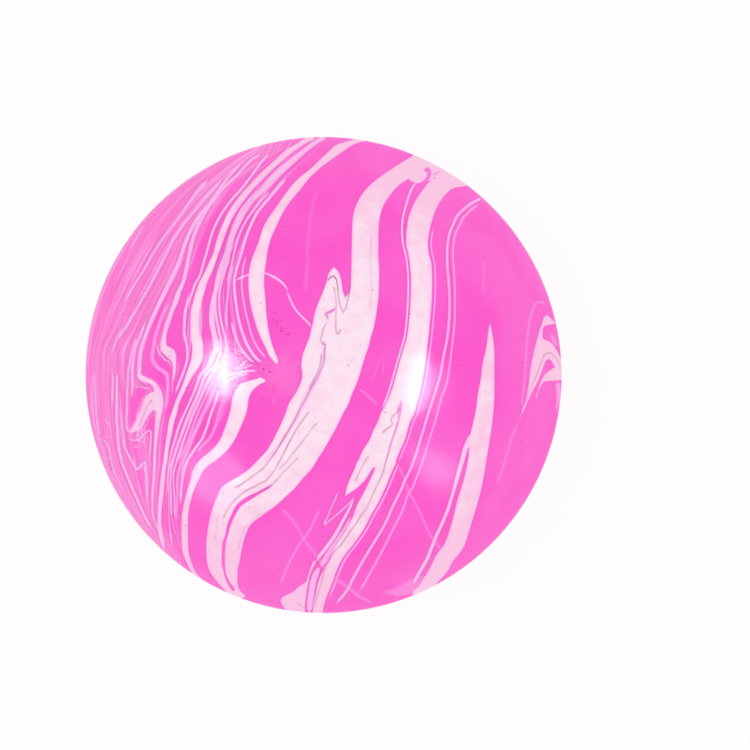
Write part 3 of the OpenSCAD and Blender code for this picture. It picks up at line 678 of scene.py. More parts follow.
# Raised and sunken lines of the skin: height, half width and route as (across, along), in millimetres
RELIEF_LINES = (
    ("ridge round the port", 0.07, 0.16, (
        (-9.0, 10.3), (-7.8, 10.65), (-6.4, 10.8), (-5.5, 10.6), (-4.8, 10.2), (-4.2, 9.5), (-3.7, 8.4),
        (-3.4, 7.7), (-3.0, 6.9), (-2.5, 6.4), (-2.0, 5.9), (-1.7, 5.5), (-1.5, 5.0),
    )),
    ("upper crease", -0.02, 0.35, (
        (3.5, -1.2), (4.5, -1.8), (5.8, -3.0), (6.1, -3.6), (7.0, -6.5), (7.85, -9.1), (8.6, -11.0),
        (9.6, -13.0), (10.6, -15.0), (11.3, -16.5), (12.4, -18.5), (13.6, -19.9), (14.5, -21.5),
    )),
    ("lower crease", -0.025, 0.32, (
        (-4.8, -13.9), (-3.2, -15.7), (-2.1, -17.6), (-0.9, -19.1), (0.0, -20.5), (1.3, -21.8),
        (2.6, -22.7), (4.0, -23.8), (5.6, -24.5),
    )),
)

# Soft boxes that the gloss shows: the direction to each as (right, up, back), its long side's direction,
# its width and length as seen from the ball, in radians, and its brightness against the lamp level
SOFT_BOXES = (
    ("left box", (-0.747, 0.029, 0.665), (0, 1, 0), 0.35, 0.4, 0.8),
    ("right box", (0.718, -0.06, 0.694), (0.15, 1, 0), 0.19, 0.46, 0.5),
    ("glow beside the right box", (0.821, -0.104, 0.561), (0.15, 1, 0), 0.2, 0.34, 0.07),
    ("low right card", (0.744, -0.621, 0.242), (-0.07, 0.06, 0.36), 0.14, 0.6, 0.13),
    ("rim of the low right card", (0.744, -0.621, 0.242), (-0.07, 0.06, 0.36), 0.22, 0.85, 0.08),
    ("low left card", (-0.703, -0.659, 0.269), (0.04, 0.05, 0.36), 0.24, 0.32, 0.11),
    ("rim of the low left card", (-0.703, -0.659, 0.269), (0.04, 0.05, 0.36), 0.4, 0.58, 0.13),
)

# Softness of the streaks' edges and of the lines beside them, in millimetres
RIBBON_SOFT = 0.16
LINE_SOFT = 0.1
POCKET_SOFT = 0.3
# A ribbon is more lavender along a rim of this width, where it starts at this share of its strength
RIM_WIDTH = 0.55
RIM_SHARE = 0.8
# The mauve outline of a streak: how far outside its edge, half its width, and how wide a streak has it
# in full
OUTLINE_OUT = 0.08
OUTLINE_HALF = 0.11
OUTLINE_FULL = 0.3
# An outline fades between these shares of its streak's strength, where the skin is pale already
OUTLINE_FADES = 0.4
OUTLINE_GONE = 0.8
# Strength of the ribbons' and the threads' outlines; a thread no stronger than the third value has none
RIBBON_OUTLINE = 0.38
THREAD_OUTLINE = 0.55
OUTLINED = 0.45
# The ends of ribbons, threads and lines, and the steps of a route, in millimetres
END_LENGTH = 0.2
END_TAPER = 0.8
LINE_TAPER = 0.25
ROUTE_STEP = 0.45
# Cycles works out at once all that waits for nothing, and runs out of room to hold it. So each streak waits
# for the one before: its run along the skin takes in a share of the ink so far that is too small to see
WAIT_SHARE = 0.000001
# A thread steeper across than this share of its run along is laid as one that runs across
ACROSS_SLOPE = 2.0

# On the far side, which no photo shows, the marbling is turned and swayed out of line. Each sway is a wave
# with a length over the skin and one in depth, in millimetres for a radian
BACK_TWIST = math.radians(70)
BACK_SWAY = 3.0
SWAY_ACROSS = (6.5, 5.0)
SWAY_ALONG = (7.5, -6.0)
# The left side's fine lines drift where the depth is less than this, by so many streams for a millimetre
RIM_DEPTH = 6.0
RIM_DRIFT = 0.07
# How little the fine lines change for a millimetre along the streams, against one stream across, and the
# least width of a stream in millimetres
STREAM_STRETCH = 0.005
LEAST_STREAM_WIDTH = 0.2
# Streams short of the last one where the haze and the fine lines end, and where they are full
HAZE_EDGE = (1.0, 2.2)
LINES_EDGE = (0.05, 0.5)

# Middle of the plain blotch over the fill port, and how far from it the blotch ends and is full, in
# millimetres
PORT_PLACE = (-4.2, -0.2)
PORT_REACH = (3.6, 0.4)
# Middle of the puckered skin where the left streaks meet, and the squares of how far from it the puckering
# ends and is full
HUB_PLACE = (-10.5, 0.4)
HUB_REACH = (10.0, 1.0)
# Depths in millimetres between which the ribbons turn from their pinker colour on the sides, painted shade,
# to their lighter colour near the port, painted light, and those between which the skin turns matt
RIBBON_LIGHT_DEPTHS = (13.0, 25.0)
MATT_DEPTHS = (22.0, 6.0)
# Ribbons and dust that were smeared over the seal
SMEARED_RIBBONS = ("slim ribbon above the port", "broad ribbon", "slim ribbon below the port")
SMEARED_DUST = ("dust at the pinch",)
# Strength of a dot, how softly its cell is chosen, its least size, and the share of it that is full
DOT_STRENGTH = 0.8
DOT_CHOICE = 0.03
DOT_LEAST = 0.5
DOT_CORE = 0.4

# Height of the grain on the skin and on the plug, in metres
SKIN_GRAIN = 0.02 * MM
PLUG_GRAIN = 0.03 * MM
# How far from the middle of the plug's mould line it ends and is full
MOULD_LINE = (0.12 * MM, 0.04 * MM)
# Colours of the bubbles and the stage, and half the floor's width in metres
GEL_BUBBLE = (1, 0.93, 0.97, 1)
GLUE_BUBBLE = (1, 0.97, 0.9, 1)
WHITE = (1, 1, 1, 1)
FLOOR_GREY = (0.95, 0.95, 0.95, 1)
FLOOR_HALF = 1.5

# Steps round each solid of revolution, which is spun one sector after another
SECTORS = 16
SKIN_STEPS = 480
GEL_STEPS = 128
PLUG_STEPS = 64
GLUE_STEPS = 96
SEAL_STEPS = 192
QUARTER = math.pi / 2
# The skin's mesh is finer within this angle of the top
FINE_CAP = math.radians(30)
# Edges sharper than this stay crisp
CRISP_EDGE = math.radians(35)
# Points nearer than this are one, and points this near the ball's radius are on its outside
WELD = 0.0005 * MM
SURFACE_SLACK = 0.02 * MM


def smooth_step(low, high, value):
    share = np.clip((value - low) / (high - low), 0, 1)
    return share * share * (3 - 2 * share)


def named(table, names):
    """The rows of a table that have one of these names."""
    return [row for row in table if row[0] in names]


class BallSizes(bpy.types.PropertyGroup):
    """Sizes of the ball that the frame's boxes don't give"""

    rest_fillet: bpy.props.FloatProperty(
        name="Rest Fillet", description="Radius that softens the edge of the resting patch",
        default=8 * MM, min=1 * MM, max=20 * MM, unit="LENGTH")
    neck_diameter: bpy.props.FloatProperty(
        name="Neck Diameter", description="Outside diameter of the neck round the fill hole",
        default=10 * MM, min=8 * MM, max=14 * MM, unit="LENGTH")
    neck_depth: bpy.props.FloatProperty(
        name="Neck Depth", description="Depth of the neck's inner end below the top",
        default=6 * MM, min=5 * MM, max=9 * MM, unit="LENGTH")
    neck_end_radius: bpy.props.FloatProperty(
        name="Neck End Radius", description="Radius that rounds the neck's inner end",
        default=0.8 * MM, min=0.3 * MM, max=1.5 * MM, unit="LENGTH")
    neck_flare: bpy.props.FloatProperty(
        name="Neck Flare", description="Width and height of the flare where the neck joins the skin",
        default=1 * MM, min=0.4 * MM, max=1.6 * MM, unit="LENGTH")
    hole_diameter: bpy.props.FloatProperty(
        name="Fill Hole", description="Diameter of the hole that the ball is filled through",
        default=3.2 * MM, min=2.4 * MM, max=3.6 * MM, unit="LENGTH")
    seat_gap: bpy.props.FloatProperty(
        name="Seat Gap", description="Gap round the seal and the glue in their seat",
        default=0.05 * MM, min=0.02 * MM, max=0.1 * MM, unit="LENGTH")
    plug_gap: bpy.props.FloatProperty(
        name="Plug Gap", description="Gap between the plug's shank and the fill hole",
        default=0.1 * MM, min=0.05 * MM, max=0.15 * MM, unit="LENGTH")
    head_gap: bpy.props.FloatProperty(
        name="Head Gap", description="Gap round the plug's head in the seat",
        default=0.25 * MM, min=0.1 * MM, max=0.4 * MM, unit="LENGTH")
    barb_tip_radius: bpy.props.FloatProperty(
        name="Barb Tip Radius", description="Radius of the barb's round tip",
        default=0.8 * MM, min=0.4 * MM, max=1.2 * MM, unit="LENGTH")
    gel_film: bpy.props.FloatProperty(
        name="Gel Film", description="Gap between the filling and what it touches",
        default=0.05 * MM, min=0.02 * MM, max=0.1 * MM, unit="LENGTH")
    lip_gap: bpy.props.FloatProperty(
        name="Lip Gap", description="Gap left round the seal by the skin's smeared lip",
        default=0.004 * MM, min=0.001 * MM, max=0.05 * MM, unit="LENGTH")
    lip_depth: bpy.props.FloatProperty(
        name="Lip Depth", description="Depth of the smeared lip round the seal",
        default=0.2 * MM, min=0.05 * MM, max=0.5 * MM, unit="LENGTH")


class BallColours(bpy.types.PropertyGroup):
    """Colours of the ball's materials"""

    pink: bpy.props.FloatVectorProperty(
        name="Pink", description="Body colour of the skin",
        subtype="COLOR", size=4, min=0, max=1, default=(0.98, 0.105, 0.62, 1))
    deep_pink: bpy.props.FloatVectorProperty(
        name="Deep Pink", description="Body colour where it is most saturated",
        subtype="COLOR", size=4, min=0, max=1, default=(0.98, 0.075, 0.585, 1))
    haze: bpy.props.FloatVectorProperty(
        name="Haze", description="Body colour of the paler left side",
        subtype="COLOR", size=4, min=0, max=1, default=(0.97, 0.23, 0.63, 1))
    lavender: bpy.props.FloatVectorProperty(
        name="Lavender", description="Colour of the thin threads and the ribbons' rims",
        subtype="COLOR", size=4, min=0, max=1, default=(0.98, 0.4, 0.86, 1))
    # Painted light: the ribbons take this lighter colour at the top of the ball, where they face the light
    pale: bpy.props.FloatVectorProperty(
        name="Pale", description="Colour of the marbled ribbons near the port",
        subtype="COLOR", size=4, min=0, max=1, default=(0.98, 0.77, 0.88, 1))
    # Painted shade: the ribbons take this pinker colour down the sides; their random blotches take it too
    shaded_and_blotched_pale: bpy.props.FloatVectorProperty(
        name="Side Pale", description="Colour of the marbled ribbons on the sides",
        subtype="COLOR", size=4, min=0, max=1, default=(0.97, 0.55, 0.77, 1))
    mauve: bpy.props.FloatVectorProperty(
        name="Mauve", description="Colour where pink and pale have run together",
        subtype="COLOR", size=4, min=0, max=1, default=(0.57, 0.11, 0.36, 1))
    speck: bpy.props.FloatVectorProperty(
        name="Speck", description="Colour of the strewn specks",
        subtype="COLOR", size=4, min=0, max=1, default=(0.45, 0.04, 0.24, 1))
    gel: bpy.props.FloatVectorProperty(
        name="Gel", description="Tint of the filling",
        subtype="COLOR", size=4, min=0, max=1, default=(0.96, 0.64, 0.8, 1))
    plug: bpy.props.FloatVectorProperty(
        name="Plug", description="Colour of the plug",
        subtype="COLOR", size=4, min=0, max=1, default=(0.93, 0.26, 0.64, 1))
    glue: bpy.props.FloatVectorProperty(
        name="Glue", description="Tint of the glue",
        subtype="COLOR", size=4, min=0, max=1, default=(0.9, 0.78, 0.6, 1))


class StageSettings(bpy.types.PropertyGroup):
    """View and light"""

    view_tilt: bpy.props.FloatProperty(
        name="View Tilt", description="How far the view from above leans to the right", subtype="ANGLE",
        default=math.radians(9))
    view_distance: bpy.props.FloatProperty(
        name="View Distance", description="Distance of the camera from the ball's middle",
        default=0.6, min=0.2, max=3, unit="LENGTH")
    view_width: bpy.props.FloatProperty(
        name="View Width", description="Width of the picture at the ball's middle",
        default=80.11 * MM, min=60 * MM, max=200 * MM, unit="LENGTH")
    view_offset: bpy.props.FloatProperty(
        name="View Offset", description="How far the ball stands left of the picture's middle",
        default=5.48 * MM, unit="LENGTH")
    world_level: bpy.props.FloatProperty(
        name="World Level", description="Strength of the light from all round", default=1.0, min=0, max=2)
    floor_white: bpy.props.FloatProperty(
        name="Floor White", description="Share of plain white in the floor as the camera sees it",
        subtype="FACTOR", default=0.9, min=0, max=1)
    floor_glow: bpy.props.FloatProperty(
        name="Floor Glow", description="Share of plain white in the light that the floor gives back",
        subtype="FACTOR", default=0.6, min=0, max=1)
    lamp_level: bpy.props.FloatProperty(
        name="Lamp Level", description="Brightness of a soft box at its full share, where white is 1",
        default=36, min=0)
    lamp_distance: bpy.props.FloatProperty(
        name="Lamp Distance", description="Distance of the soft boxes from the ball's middle",
        default=0.5, min=0.2, max=3, unit="LENGTH")


class BallSettings(bpy.types.PropertyGroup):
    """All settings of the ball"""

    sizes: bpy.props.PointerProperty(type=BallSizes)
    colours: bpy.props.PointerProperty(type=BallColours)
    stage: bpy.props.PointerProperty(type=StageSettings)


class Sketch:
    """Adds nodes to one node tree and joins them; an input is a socket or a plain value."""

    def __init__(self, tree):
        self.tree = tree

    def add(self, kind, inputs=None, **settings):
        node = self.tree.nodes.new(kind)
        for name, value in settings.items():
            setattr(node, name, value)
        self.fill(node, inputs or {})
        return node

    def fill(self, node, inputs):
        for key, value in inputs.items():
            if isinstance(value, bpy.types.NodeSocket):
                self.tree.links.new(value, node.inputs[key])
            else:
                node.inputs[key].default_value = value

    def math(self, operation, first, second=0.0):
        return self.add("ShaderNodeMath", {0: first, 1: second}, operation=operation).outputs[0]

    def ramp(self, value, low, high, bottom=0.0, top=1.0, kind="SMOOTHSTEP"):
        inputs = {"Value": value, "From Min": low, "From Max": high, "To Min": bottom, "To Max": top}
        return self.add("ShaderNodeMapRange", inputs, interpolation_type=kind).outputs[0]

    def mix(self, factor, first, second):
        return self.add("ShaderNodeMix", {0: factor, 6: first, 7: second}, data_type="RGBA").outputs[2]

    def noise(self, place, scale, detail=2.0, roughness=0.5):
        inputs = {"Vector": place, "Scale": scale, "Detail": detail, "Roughness": roughness}
        return self.add("ShaderNodeTexNoise", inputs).outputs[0]

    def bump(self, height, distance):
        inputs = {"Height": height, "Strength": 0.3, "Distance": distance}
        return self.add("ShaderNodeBump", inputs).outputs[0]

    def parts(self, place):
        return self.add("ShaderNodeSeparateXYZ", {0: place}).outputs

    def curve(self, value, points, label):
        """A smooth curve through points of (input, output), level beyond its ends."""
        node = self.add("ShaderNodeFloatCurve", {"Value": value}, label=label)
        shape = node.mapping
        shape.use_clip = False
        shape.extend = "HORIZONTAL"
        ordered = sorted(points)
        line = shape.curves[0]
        line.points[0].location = ordered[0]
        line.points[1].location = ordered[-1]
        for position, height in ordered[1:-1]:
            line.points.new(position, height)
        for point in line.points:
            point.handle_type = "AUTO_CLAMPED"
        shape.update()
        return node.outputs[0]


def smooth_route(route):
    """Points at even steps along a smooth line through a route's points, with any widths that they have."""
    points = np.array(route, float)
    before, after = 2 * points[0] - points[1], 2 * points[-1] - points[-2]
    knots = np.vstack((before, points, after))
    smooth = []
    for p0, p1, p2, p3 in zip(knots[:-3], knots[1:-2], knots[2:-1], knots[3:]):
        count = max(1, round(float(np.linalg.norm(p2[:2] - p1[:2])) / ROUTE_STEP))
        for t in np.arange(count) / count:
            bend = (2 * p0 - 5 * p1 + 4 * p2 - p3) * t**2 + (3 * p1 - p0 - 3 * p2 + p3) * t**3
            smooth.append((2 * p1 + (p2 - p0) * t + bend) / 2)
    smooth.append(points[-1])
    return np.array(smooth)


def thread_sections(route, width, soft, end_taper=END_TAPER):
    """Splits a thread where it turns between running along and running across.

    Each section is (turned, rows of (run, low edge, high edge)). Only the thread's own two ends are
    pointed. A point of the route may have a width of its own as a third number.
    """
    points = smooth_route([(*point, width)[:3] for point in route])
    steps = np.diff(points[:, :2], axis=0)
    run = np.concatenate(([0], np.cumsum(np.linalg.norm(steps, axis=1))))
    taper = min(end_taper, run[-1] / 3)
    half = (points[:, 2] + soft) / 2 * np.clip(np.minimum(run, run[-1] - run) / taper, 0, 1)
    across = np.abs(steps[:, 0]) > ACROSS_SLOPE * np.abs(steps[:, 1])
    onward = np.where(across, steps[:, 0], steps[:, 1]) > 0
    turns = np.flatnonzero(np.diff(across * 2 + onward)) + 1
    for start, end in zip([0, *turns], [*turns, len(steps)]):
        turned = bool(across[start])
        along, side = points[start:end + 1, [0, 1] if turned else [1, 0]].T
        reach = half[start:end + 1] * np.sqrt(1 + np.gradient(side, along) ** 2)
        yield turned, list(zip(along.tolist(), (side - reach).tolist(), (side + reach).tolist()))


def closed_ends(rows):
    """The rows in rising order, with both ends drawn to a point and a level stretch beyond it."""
    rows = sorted(rows)
    (first, first_left, first_right), (last, last_left, last_right) = rows[0], rows[-1]
    first_middle, last_middle = (first_left + first_right) / 2, (last_left + last_right) / 2
    start = [(first - reach * END_LENGTH, first_middle, first_middle) for reach in (2, 1)]
    end = [(last + reach * END_LENGTH, last_middle, last_middle) for reach in (1, 2)]
    return start + rows + end


class Streak:
    """A node group that lays one streak over the marbling so far: how pale and how inky the skin is."""

    def __init__(self, name, rows, soft, turned=False):
        self.tree = bpy.data.node_groups.new(name, "ShaderNodeTree")
        for socket in ("Across", "Along", "Pale", "Ink"):
            self.tree.interface.new_socket(socket, in_out="INPUT", socket_type="NodeSocketFloat")
        for socket in ("Pale", "Ink"):
            self.tree.interface.new_socket(socket, in_out="OUTPUT", socket_type="NodeSocketFloat")
        self.sketch = Sketch(self.tree)
        given = self.sketch.add("NodeGroupInput").outputs
        run, side = (given["Across"], given["Along"]) if turned else (given["Along"], given["Across"])
        after = {0: given["Ink"], 1: WAIT_SHARE, 2: run}
        run = self.sketch.add("ShaderNodeMath", after, operation="MULTIPLY_ADD").outputs[0]
        rows = closed_ends(rows)
        left = self.sketch.curve(run, [(y, low) for y, low, _ in rows], "left edge")
        right = self.sketch.curve(run, [(y, high) for y, _, high in rows], "right edge")
        from_left = self.sketch.math("SUBTRACT", side, left)
        from_right = self.sketch.math("SUBTRACT", right, side)
        self.inside = self.sketch.math("MINIMUM", from_left, from_right)
        self.width = self.sketch.math("SUBTRACT", right, left)
        self.soft = soft
        self.pale, self.ink = given["Pale"], given["Ink"]

    def paint(self, strength, outline):
        """Paints the streak pale, with a mauve line beside its edges where the skin isn't pale yet."""
        sketch, under = self.sketch, self.pale
        cover = sketch.ramp(self.inside, 0.0, self.soft, 0.0, strength)
        rim = sketch.ramp(self.inside, 0.0, RIM_WIDTH, RIM_SHARE, 1.0)
        self.pale = sketch.math("MAXIMUM", under, sketch.math("MULTIPLY", cover, rim))
        self.ink = sketch.math("MULTIPLY", self.ink, sketch.math("SUBTRACT", 1.0, cover))
        if outline:
            beside = sketch.math("ABSOLUTE", sketch.math("ADD", self.inside, OUTLINE_OUT))
            line = sketch.ramp(beside, OUTLINE_HALF, 0.0, 0.0, outline)
            line = sketch.math("MULTIPLY", line, sketch.ramp(self.width, 0.0, OUTLINE_FULL))
            bare = sketch.ramp(under, OUTLINE_GONE * strength, OUTLINE_FADES * strength)
            line = sketch.math("MULTIPLY", line, bare)
            self.ink = sketch.math("MAXIMUM", self.ink, line)
        return self.finish()

    def clear(self, strength):
        """Clears the streak back to plain pink."""
        left_over = self.sketch.ramp(self.inside, 0.0, self.soft, 1.0, 1.0 - strength)
        self.pale = self.sketch.math("MULTIPLY", self.pale, left_over)
        self.ink = self.sketch.math("MULTIPLY", self.ink, left_over)
        return self.finish()

    def draw(self, strength):
        """Draws the streak in mauve."""
        line = self.sketch.ramp(self.inside, 0.0, self.soft, 0.0, strength)
        self.ink = self.sketch.math("MAXIMUM", self.ink, line)
        return self.finish()

    def finish(self):
        self.sketch.add("NodeGroupOutput", {"Pale": self.pale, "Ink": self.ink})
        return self.tree


class Marbling:
    """Lays streaks one after another and keeps how pale and how inky the skin is so far."""

    def __init__(self, sketch, across, along, pale=0.0, ink=0.0):
        self.sketch = sketch
        self.across, self.along = across, along
        self.pale, self.ink = pale, ink

    def lay(self, tree):
        inputs = {"Across": self.across, "Along": self.along, "Pale": self.pale, "Ink": self.ink}
        node = self.sketch.add("ShaderNodeGroup", inputs, node_tree=tree)
        self.pale, self.ink = node.outputs["Pale"], node.outputs["Ink"]

    def ribbons(self, table):
        for name, strength, rows in table:
            self.lay(Streak(name, rows, RIBBON_SOFT).paint(strength, RIBBON_OUTLINE))

    def cuts(self, table, soft):
        for name, strength, rows in table:
            self.lay(Streak(name, rows, soft).clear(strength))

    def threads(self, table, outline):
        for name, strength, width, soft, route in table:
            edge = outline if strength > OUTLINED else 0.0
            for turned, rows in thread_sections(route, width, soft):
                self.lay(Streak(name, rows, soft, turned).paint(strength, edge))

    def edge_threads(self, table):
        for ribbon, side, outside, top, bottom, strength, width in table:
            name = f"{side} thread of the {ribbon}"
            route = edge_route(ribbon, side, outside, top, bottom)
            for turned, rows in thread_sections(route, width, LINE_SOFT):
                self.lay(Streak(name, rows, LINE_SOFT, turned).paint(strength, 0.0))

    def lines(self, table):
        for name, strength, width, soft, route in table:
            for turned, rows in thread_sections(route, width, soft, LINE_TAPER):
                self.lay(Streak(name, rows, soft, turned).draw(strength))


def edge_route(ribbon, side, outside, top, bottom):
    """The route of a line that runs beside a ribbon's edge."""
    rows = named(RIBBONS, (ribbon,))[0][2]
    column, sign = (2, 1) if side == "right" else (1, -1)
    return [(row[column] + sign * outside, row[0]) for row in rows if bottom <= row[0] <= top]


def lay_marbling(points, stage):
    """Where points of the skin lie in the marbling: across, along and depth, in millimetres."""
    tilt, eye = stage.view_tilt, stage.view_distance / MM
    local = (points - np.array((0, 0, CENTRE_Z))) / MM
    across = local @ np.array((math.cos(tilt), 0, -math.sin(tilt)))
    depth = local @ np.array((math.sin(tilt), 0, math.cos(tilt)))
    scale = eye / (eye - depth)
    flat = np.stack((across * scale, local[:, 1] * scale), 1)
    behind = smooth_step(0, 1, -depth / (BALL_R / MM))
    turn = BACK_TWIST * behind
    turned_x = flat[:, 0] * np.cos(turn) - flat[:, 1] * np.sin(turn)
    turned_y = flat[:, 0] * np.sin(turn) + flat[:, 1] * np.cos(turn)
    sway = BACK_SWAY * behind
    turned_x = turned_x + sway * np.sin(local[:, 1] / SWAY_ACROSS[0] + depth / SWAY_ACROSS[1])
    turned_y = turned_y + sway * np.sin(local[:, 0] / SWAY_ALONG[0] + depth / SWAY_ALONG[1])
    return np.stack((turned_x, turned_y, depth), 1)


def stream_place(sketch, across, along):
    """How far across the left side's streams a place lies: 0 at the first, and 1 more at each next one."""
    place, before = 0.0, None
    for number, route in enumerate(STREAMS):
        here = sketch.curve(along, [(y, x) for x, y in route], f"stream {number}")
        if before is not None:
            gone = sketch.math("SUBTRACT", across, before)
            width = sketch.math("MAXIMUM", sketch.math("SUBTRACT", here, before), LEAST_STREAM_WIDTH)
            share = sketch.add("ShaderNodeClamp", {"Value": sketch.math("DIVIDE", gone, width)}).outputs[0]
            place = sketch.math("ADD", place, share)
        before = here
    return place


def left_side_wash(sketch, across, along, depth):
    """How pale and how inky the left side's fine lines make the skin, and how hazy it is there.

    Past the rim the lines drift on with the depth, so that the far side isn't a mirror of the near one.
    """
    stream = stream_place(sketch, across, along)
    onward = sketch.math("MULTIPLY", along, STREAM_STRETCH)
    past_rim = sketch.math("MINIMUM", sketch.math("SUBTRACT", depth, RIM_DEPTH), 0.0)
    wound = sketch.math("ADD", sketch.math("MULTIPLY", past_rim, RIM_DRIFT), stream)
    lane = sketch.add("ShaderNodeCombineXYZ", {"X": wound, "Y": onward}).outputs[0]
    broad = sketch.noise(lane, scale=5.0, detail=1.0)
    fine = sketch.noise(lane, scale=13.0, detail=3.0, roughness=0.7)
    last = len(STREAMS) - 1
    outer = sketch.ramp(stream, last - HAZE_EDGE[0], last - HAZE_EDGE[1])
    inner = sketch.ramp(stream, last - LINES_EDGE[0], last - LINES_EDGE[1])
    haze = sketch.math("MULTIPLY", sketch.ramp(broad, 0.3, 0.7, bottom=0.3, top=0.9), outer)
    lines = sketch.math("MULTIPLY", sketch.ramp(fine, 0.52, 0.66, top=0.55), inner)
    ink = sketch.math("MULTIPLY", sketch.ramp(fine, 0.46, 0.36, top=0.5), inner)
    return lines, ink, haze


def skin_colour(sketch, colours, place, pale, ink, haze, dust):
    """Turns how pale, inky, hazy and dusty the skin is into its colour, with the ribbons painted lighter at
    the top and shaded pinker down the sides.
    """
    cloud = sketch.noise(place, scale=0.12)
    body = sketch.mix(sketch.ramp(cloud, 0.35, 0.65), list(colours.pink), list(colours.deep_pink))
    body = sketch.mix(haze, body, list(colours.haze))
    colour = sketch.mix(sketch.ramp(pale, 0.0, 0.5, kind="LINEAR"), body, list(colours.lavender))
    # Painted light and shade: by the depth, the ribbons turn lighter at the top and pinker down the sides,
    # along an edge made uneven by noise
    light_edge_noise = sketch.noise(place, scale=0.45, detail=3.0, roughness=0.6)
    light_edge_shift = sketch.ramp(light_edge_noise, 0.3, 0.7, bottom=-3.0, top=3.0)
    near = sketch.ramp(sketch.math("ADD", sketch.parts(place)["Z"], light_edge_shift), *RIBBON_LIGHT_DEPTHS)
    ribbon = sketch.mix(near, list(colours.shaded_and_blotched_pale), list(colours.pale))
    blot = sketch.noise(place, scale=0.7, detail=4.0, roughness=0.65)
    ribbon = sketch.mix(sketch.ramp(blot, 0.44, 0.66, top=0.35), ribbon, list(colours.shaded_and_blotched_pale))
    colour = sketch.mix(sketch.ramp(pale, 0.5, 1.0, kind="LINEAR"), colour, ribbon)
    patch = sketch.noise(place, scale=0.3, roughness=0.6)
    patchy = sketch.ramp(patch, 0.35, 0.65, bottom=0.6)
    strewn = dots(sketch, place, scale=0.75, rarity=0.87, size=0.08)
    gathered = sketch.math("MULTIPLY", dots(sketch, place, scale=2.5, rarity=0.35, size=0.5), dust)
    colour = sketch.mix(sketch.math("MULTIPLY", ink, patchy), colour, list(colours.mauve))
    return sketch.mix(sketch.math("MAXIMUM", strewn, gathered), colour, list(colours.speck))


def dots(sketch, place, scale, rarity, size, dimensions="2D"):
    """How strong a strewing of dots is; rarity is the share of its cells that have none."""
    inputs = {"Vector": place, "Scale": scale}
    cells = sketch.add("ShaderNodeTexVoronoi", inputs, voronoi_dimensions=dimensions).outputs
    chance = sketch.add("ShaderNodeSeparateColor", {0: cells["Color"]}).outputs
    chosen = sketch.ramp(chance[0], rarity, rarity + DOT_CHOICE, top=DOT_STRENGTH)
    reach = sketch.ramp(chance[1], 0.0, 1.0, bottom=DOT_LEAST * size, top=size)
    outward = sketch.math("DIVIDE", cells["Distance"], reach)
    return sketch.math("MULTIPLY", chosen, sketch.ramp(outward, 1.0, DOT_CORE))


def square_from(sketch, across, along, middle):
    """The square of how far a place of the marbling is from a middle."""
    apart = sketch.math("SUBTRACT", across, middle[0])
    above = sketch.math("SUBTRACT", along, middle[1])
    return sketch.math("ADD", sketch.math("POWER", apart, 2.0), sketch.math("POWER", above, 2.0))


def port_blotch(sketch, across, along):
    """How hazy the plain blotch over the fill port makes the skin."""
    far = sketch.math("SQRT", square_from(sketch, across, along, PORT_PLACE))
    flat = sketch.add("ShaderNodeCombineXYZ", {"X": across, "Y": along}).outputs[0]
    cloud = sketch.noise(flat, scale=0.9, detail=3.0, roughness=0.6)
    uneven = sketch.ramp(cloud, 0.3, 0.7, bottom=-1.2, top=1.2, kind="LINEAR")
    return sketch.ramp(sketch.math("ADD", far, uneven), *PORT_REACH, top=0.4)


def skin_surface(sketch, shader, place):
    """Gives the skin its gloss, polished at the top and more matt down the sides, and its fine grain."""
    parts = sketch.parts(place)
    wear = sketch.noise(place, scale=0.8, detail=3.0, roughness=0.6)
    worn = sketch.ramp(wear, 0.3, 0.7, bottom=0.12, top=0.2)
    side = sketch.ramp(parts["Z"], *MATT_DEPTHS, top=0.45)
    sketch.fill(shader, {"Roughness": sketch.math("ADD", worn, side), "Specular IOR Level": 0.32})
    grain = sketch.noise(place, scale=4.0, roughness=0.6)
    from_hub = square_from(sketch, parts["X"], parts["Y"], HUB_PLACE)
    puckered = sketch.ramp(from_hub, *HUB_REACH, bottom=1.0, top=6.0)
    bump = sketch.bump(sketch.math("MULTIPLY", grain, puckered), SKIN_GRAIN)
    sketch.fill(shader, {"Normal": bump})


def start_material(name):
    material = bpy.data.materials.new(name)
    material.use_nodes = True
    return material, Sketch(material.node_tree), material.node_tree.nodes["Principled BSDF"]


def marbling_place(sketch):
    """A place in the marbling as one vector and in its parts."""
    place = sketch.add("ShaderNodeAttribute", attribute_name=MARBLING).outputs["Vector"]
    return place, sketch.parts(place)


def marbled_skin_material(colours):
    """The skin's pink with its marbling, laid in the order in which the streaks lie over each other."""
    material, sketch, shader = start_material("marbled_skin")
    place, parts = marbling_place(sketch)
    across, along = parts["X"], parts["Y"]
    pale, ink, haze = left_side_wash(sketch, across, along, parts["Z"])
    hazes = Marbling(sketch, across, along, haze)
    hazes.cuts(POCKETS, POCKET_SOFT)
    haze = sketch.math("MAXIMUM", hazes.pale, port_blotch(sketch, across, along))
    dust = Marbling(sketch, across, along)
    dust.lines(DUST)
    marbling = Marbling(sketch, across, along, pale, ink)
    marbling.cuts(POCKETS, POCKET_SOFT)
    marbling.ribbons(RIBBONS)
    marbling.cuts(SLITS, RIBBON_SOFT)
    marbling.threads(THREADS, THREAD_OUTLINE)
    marbling.edge_threads(EDGE_THREADS)
    marbling.lines(INK_LINES)
    # Painted highlights along the skin's raised and sunken lines
    marbling.threads(PAINTED_RELIEF_HIGHLIGHTS, 0.0)
    colour = skin_colour(sketch, colours, place, marbling.pale, marbling.ink, haze, dust.ink)
    sketch.fill(shader, {"Base Color": colour})
    skin_surface(sketch, shader, place)
    return material


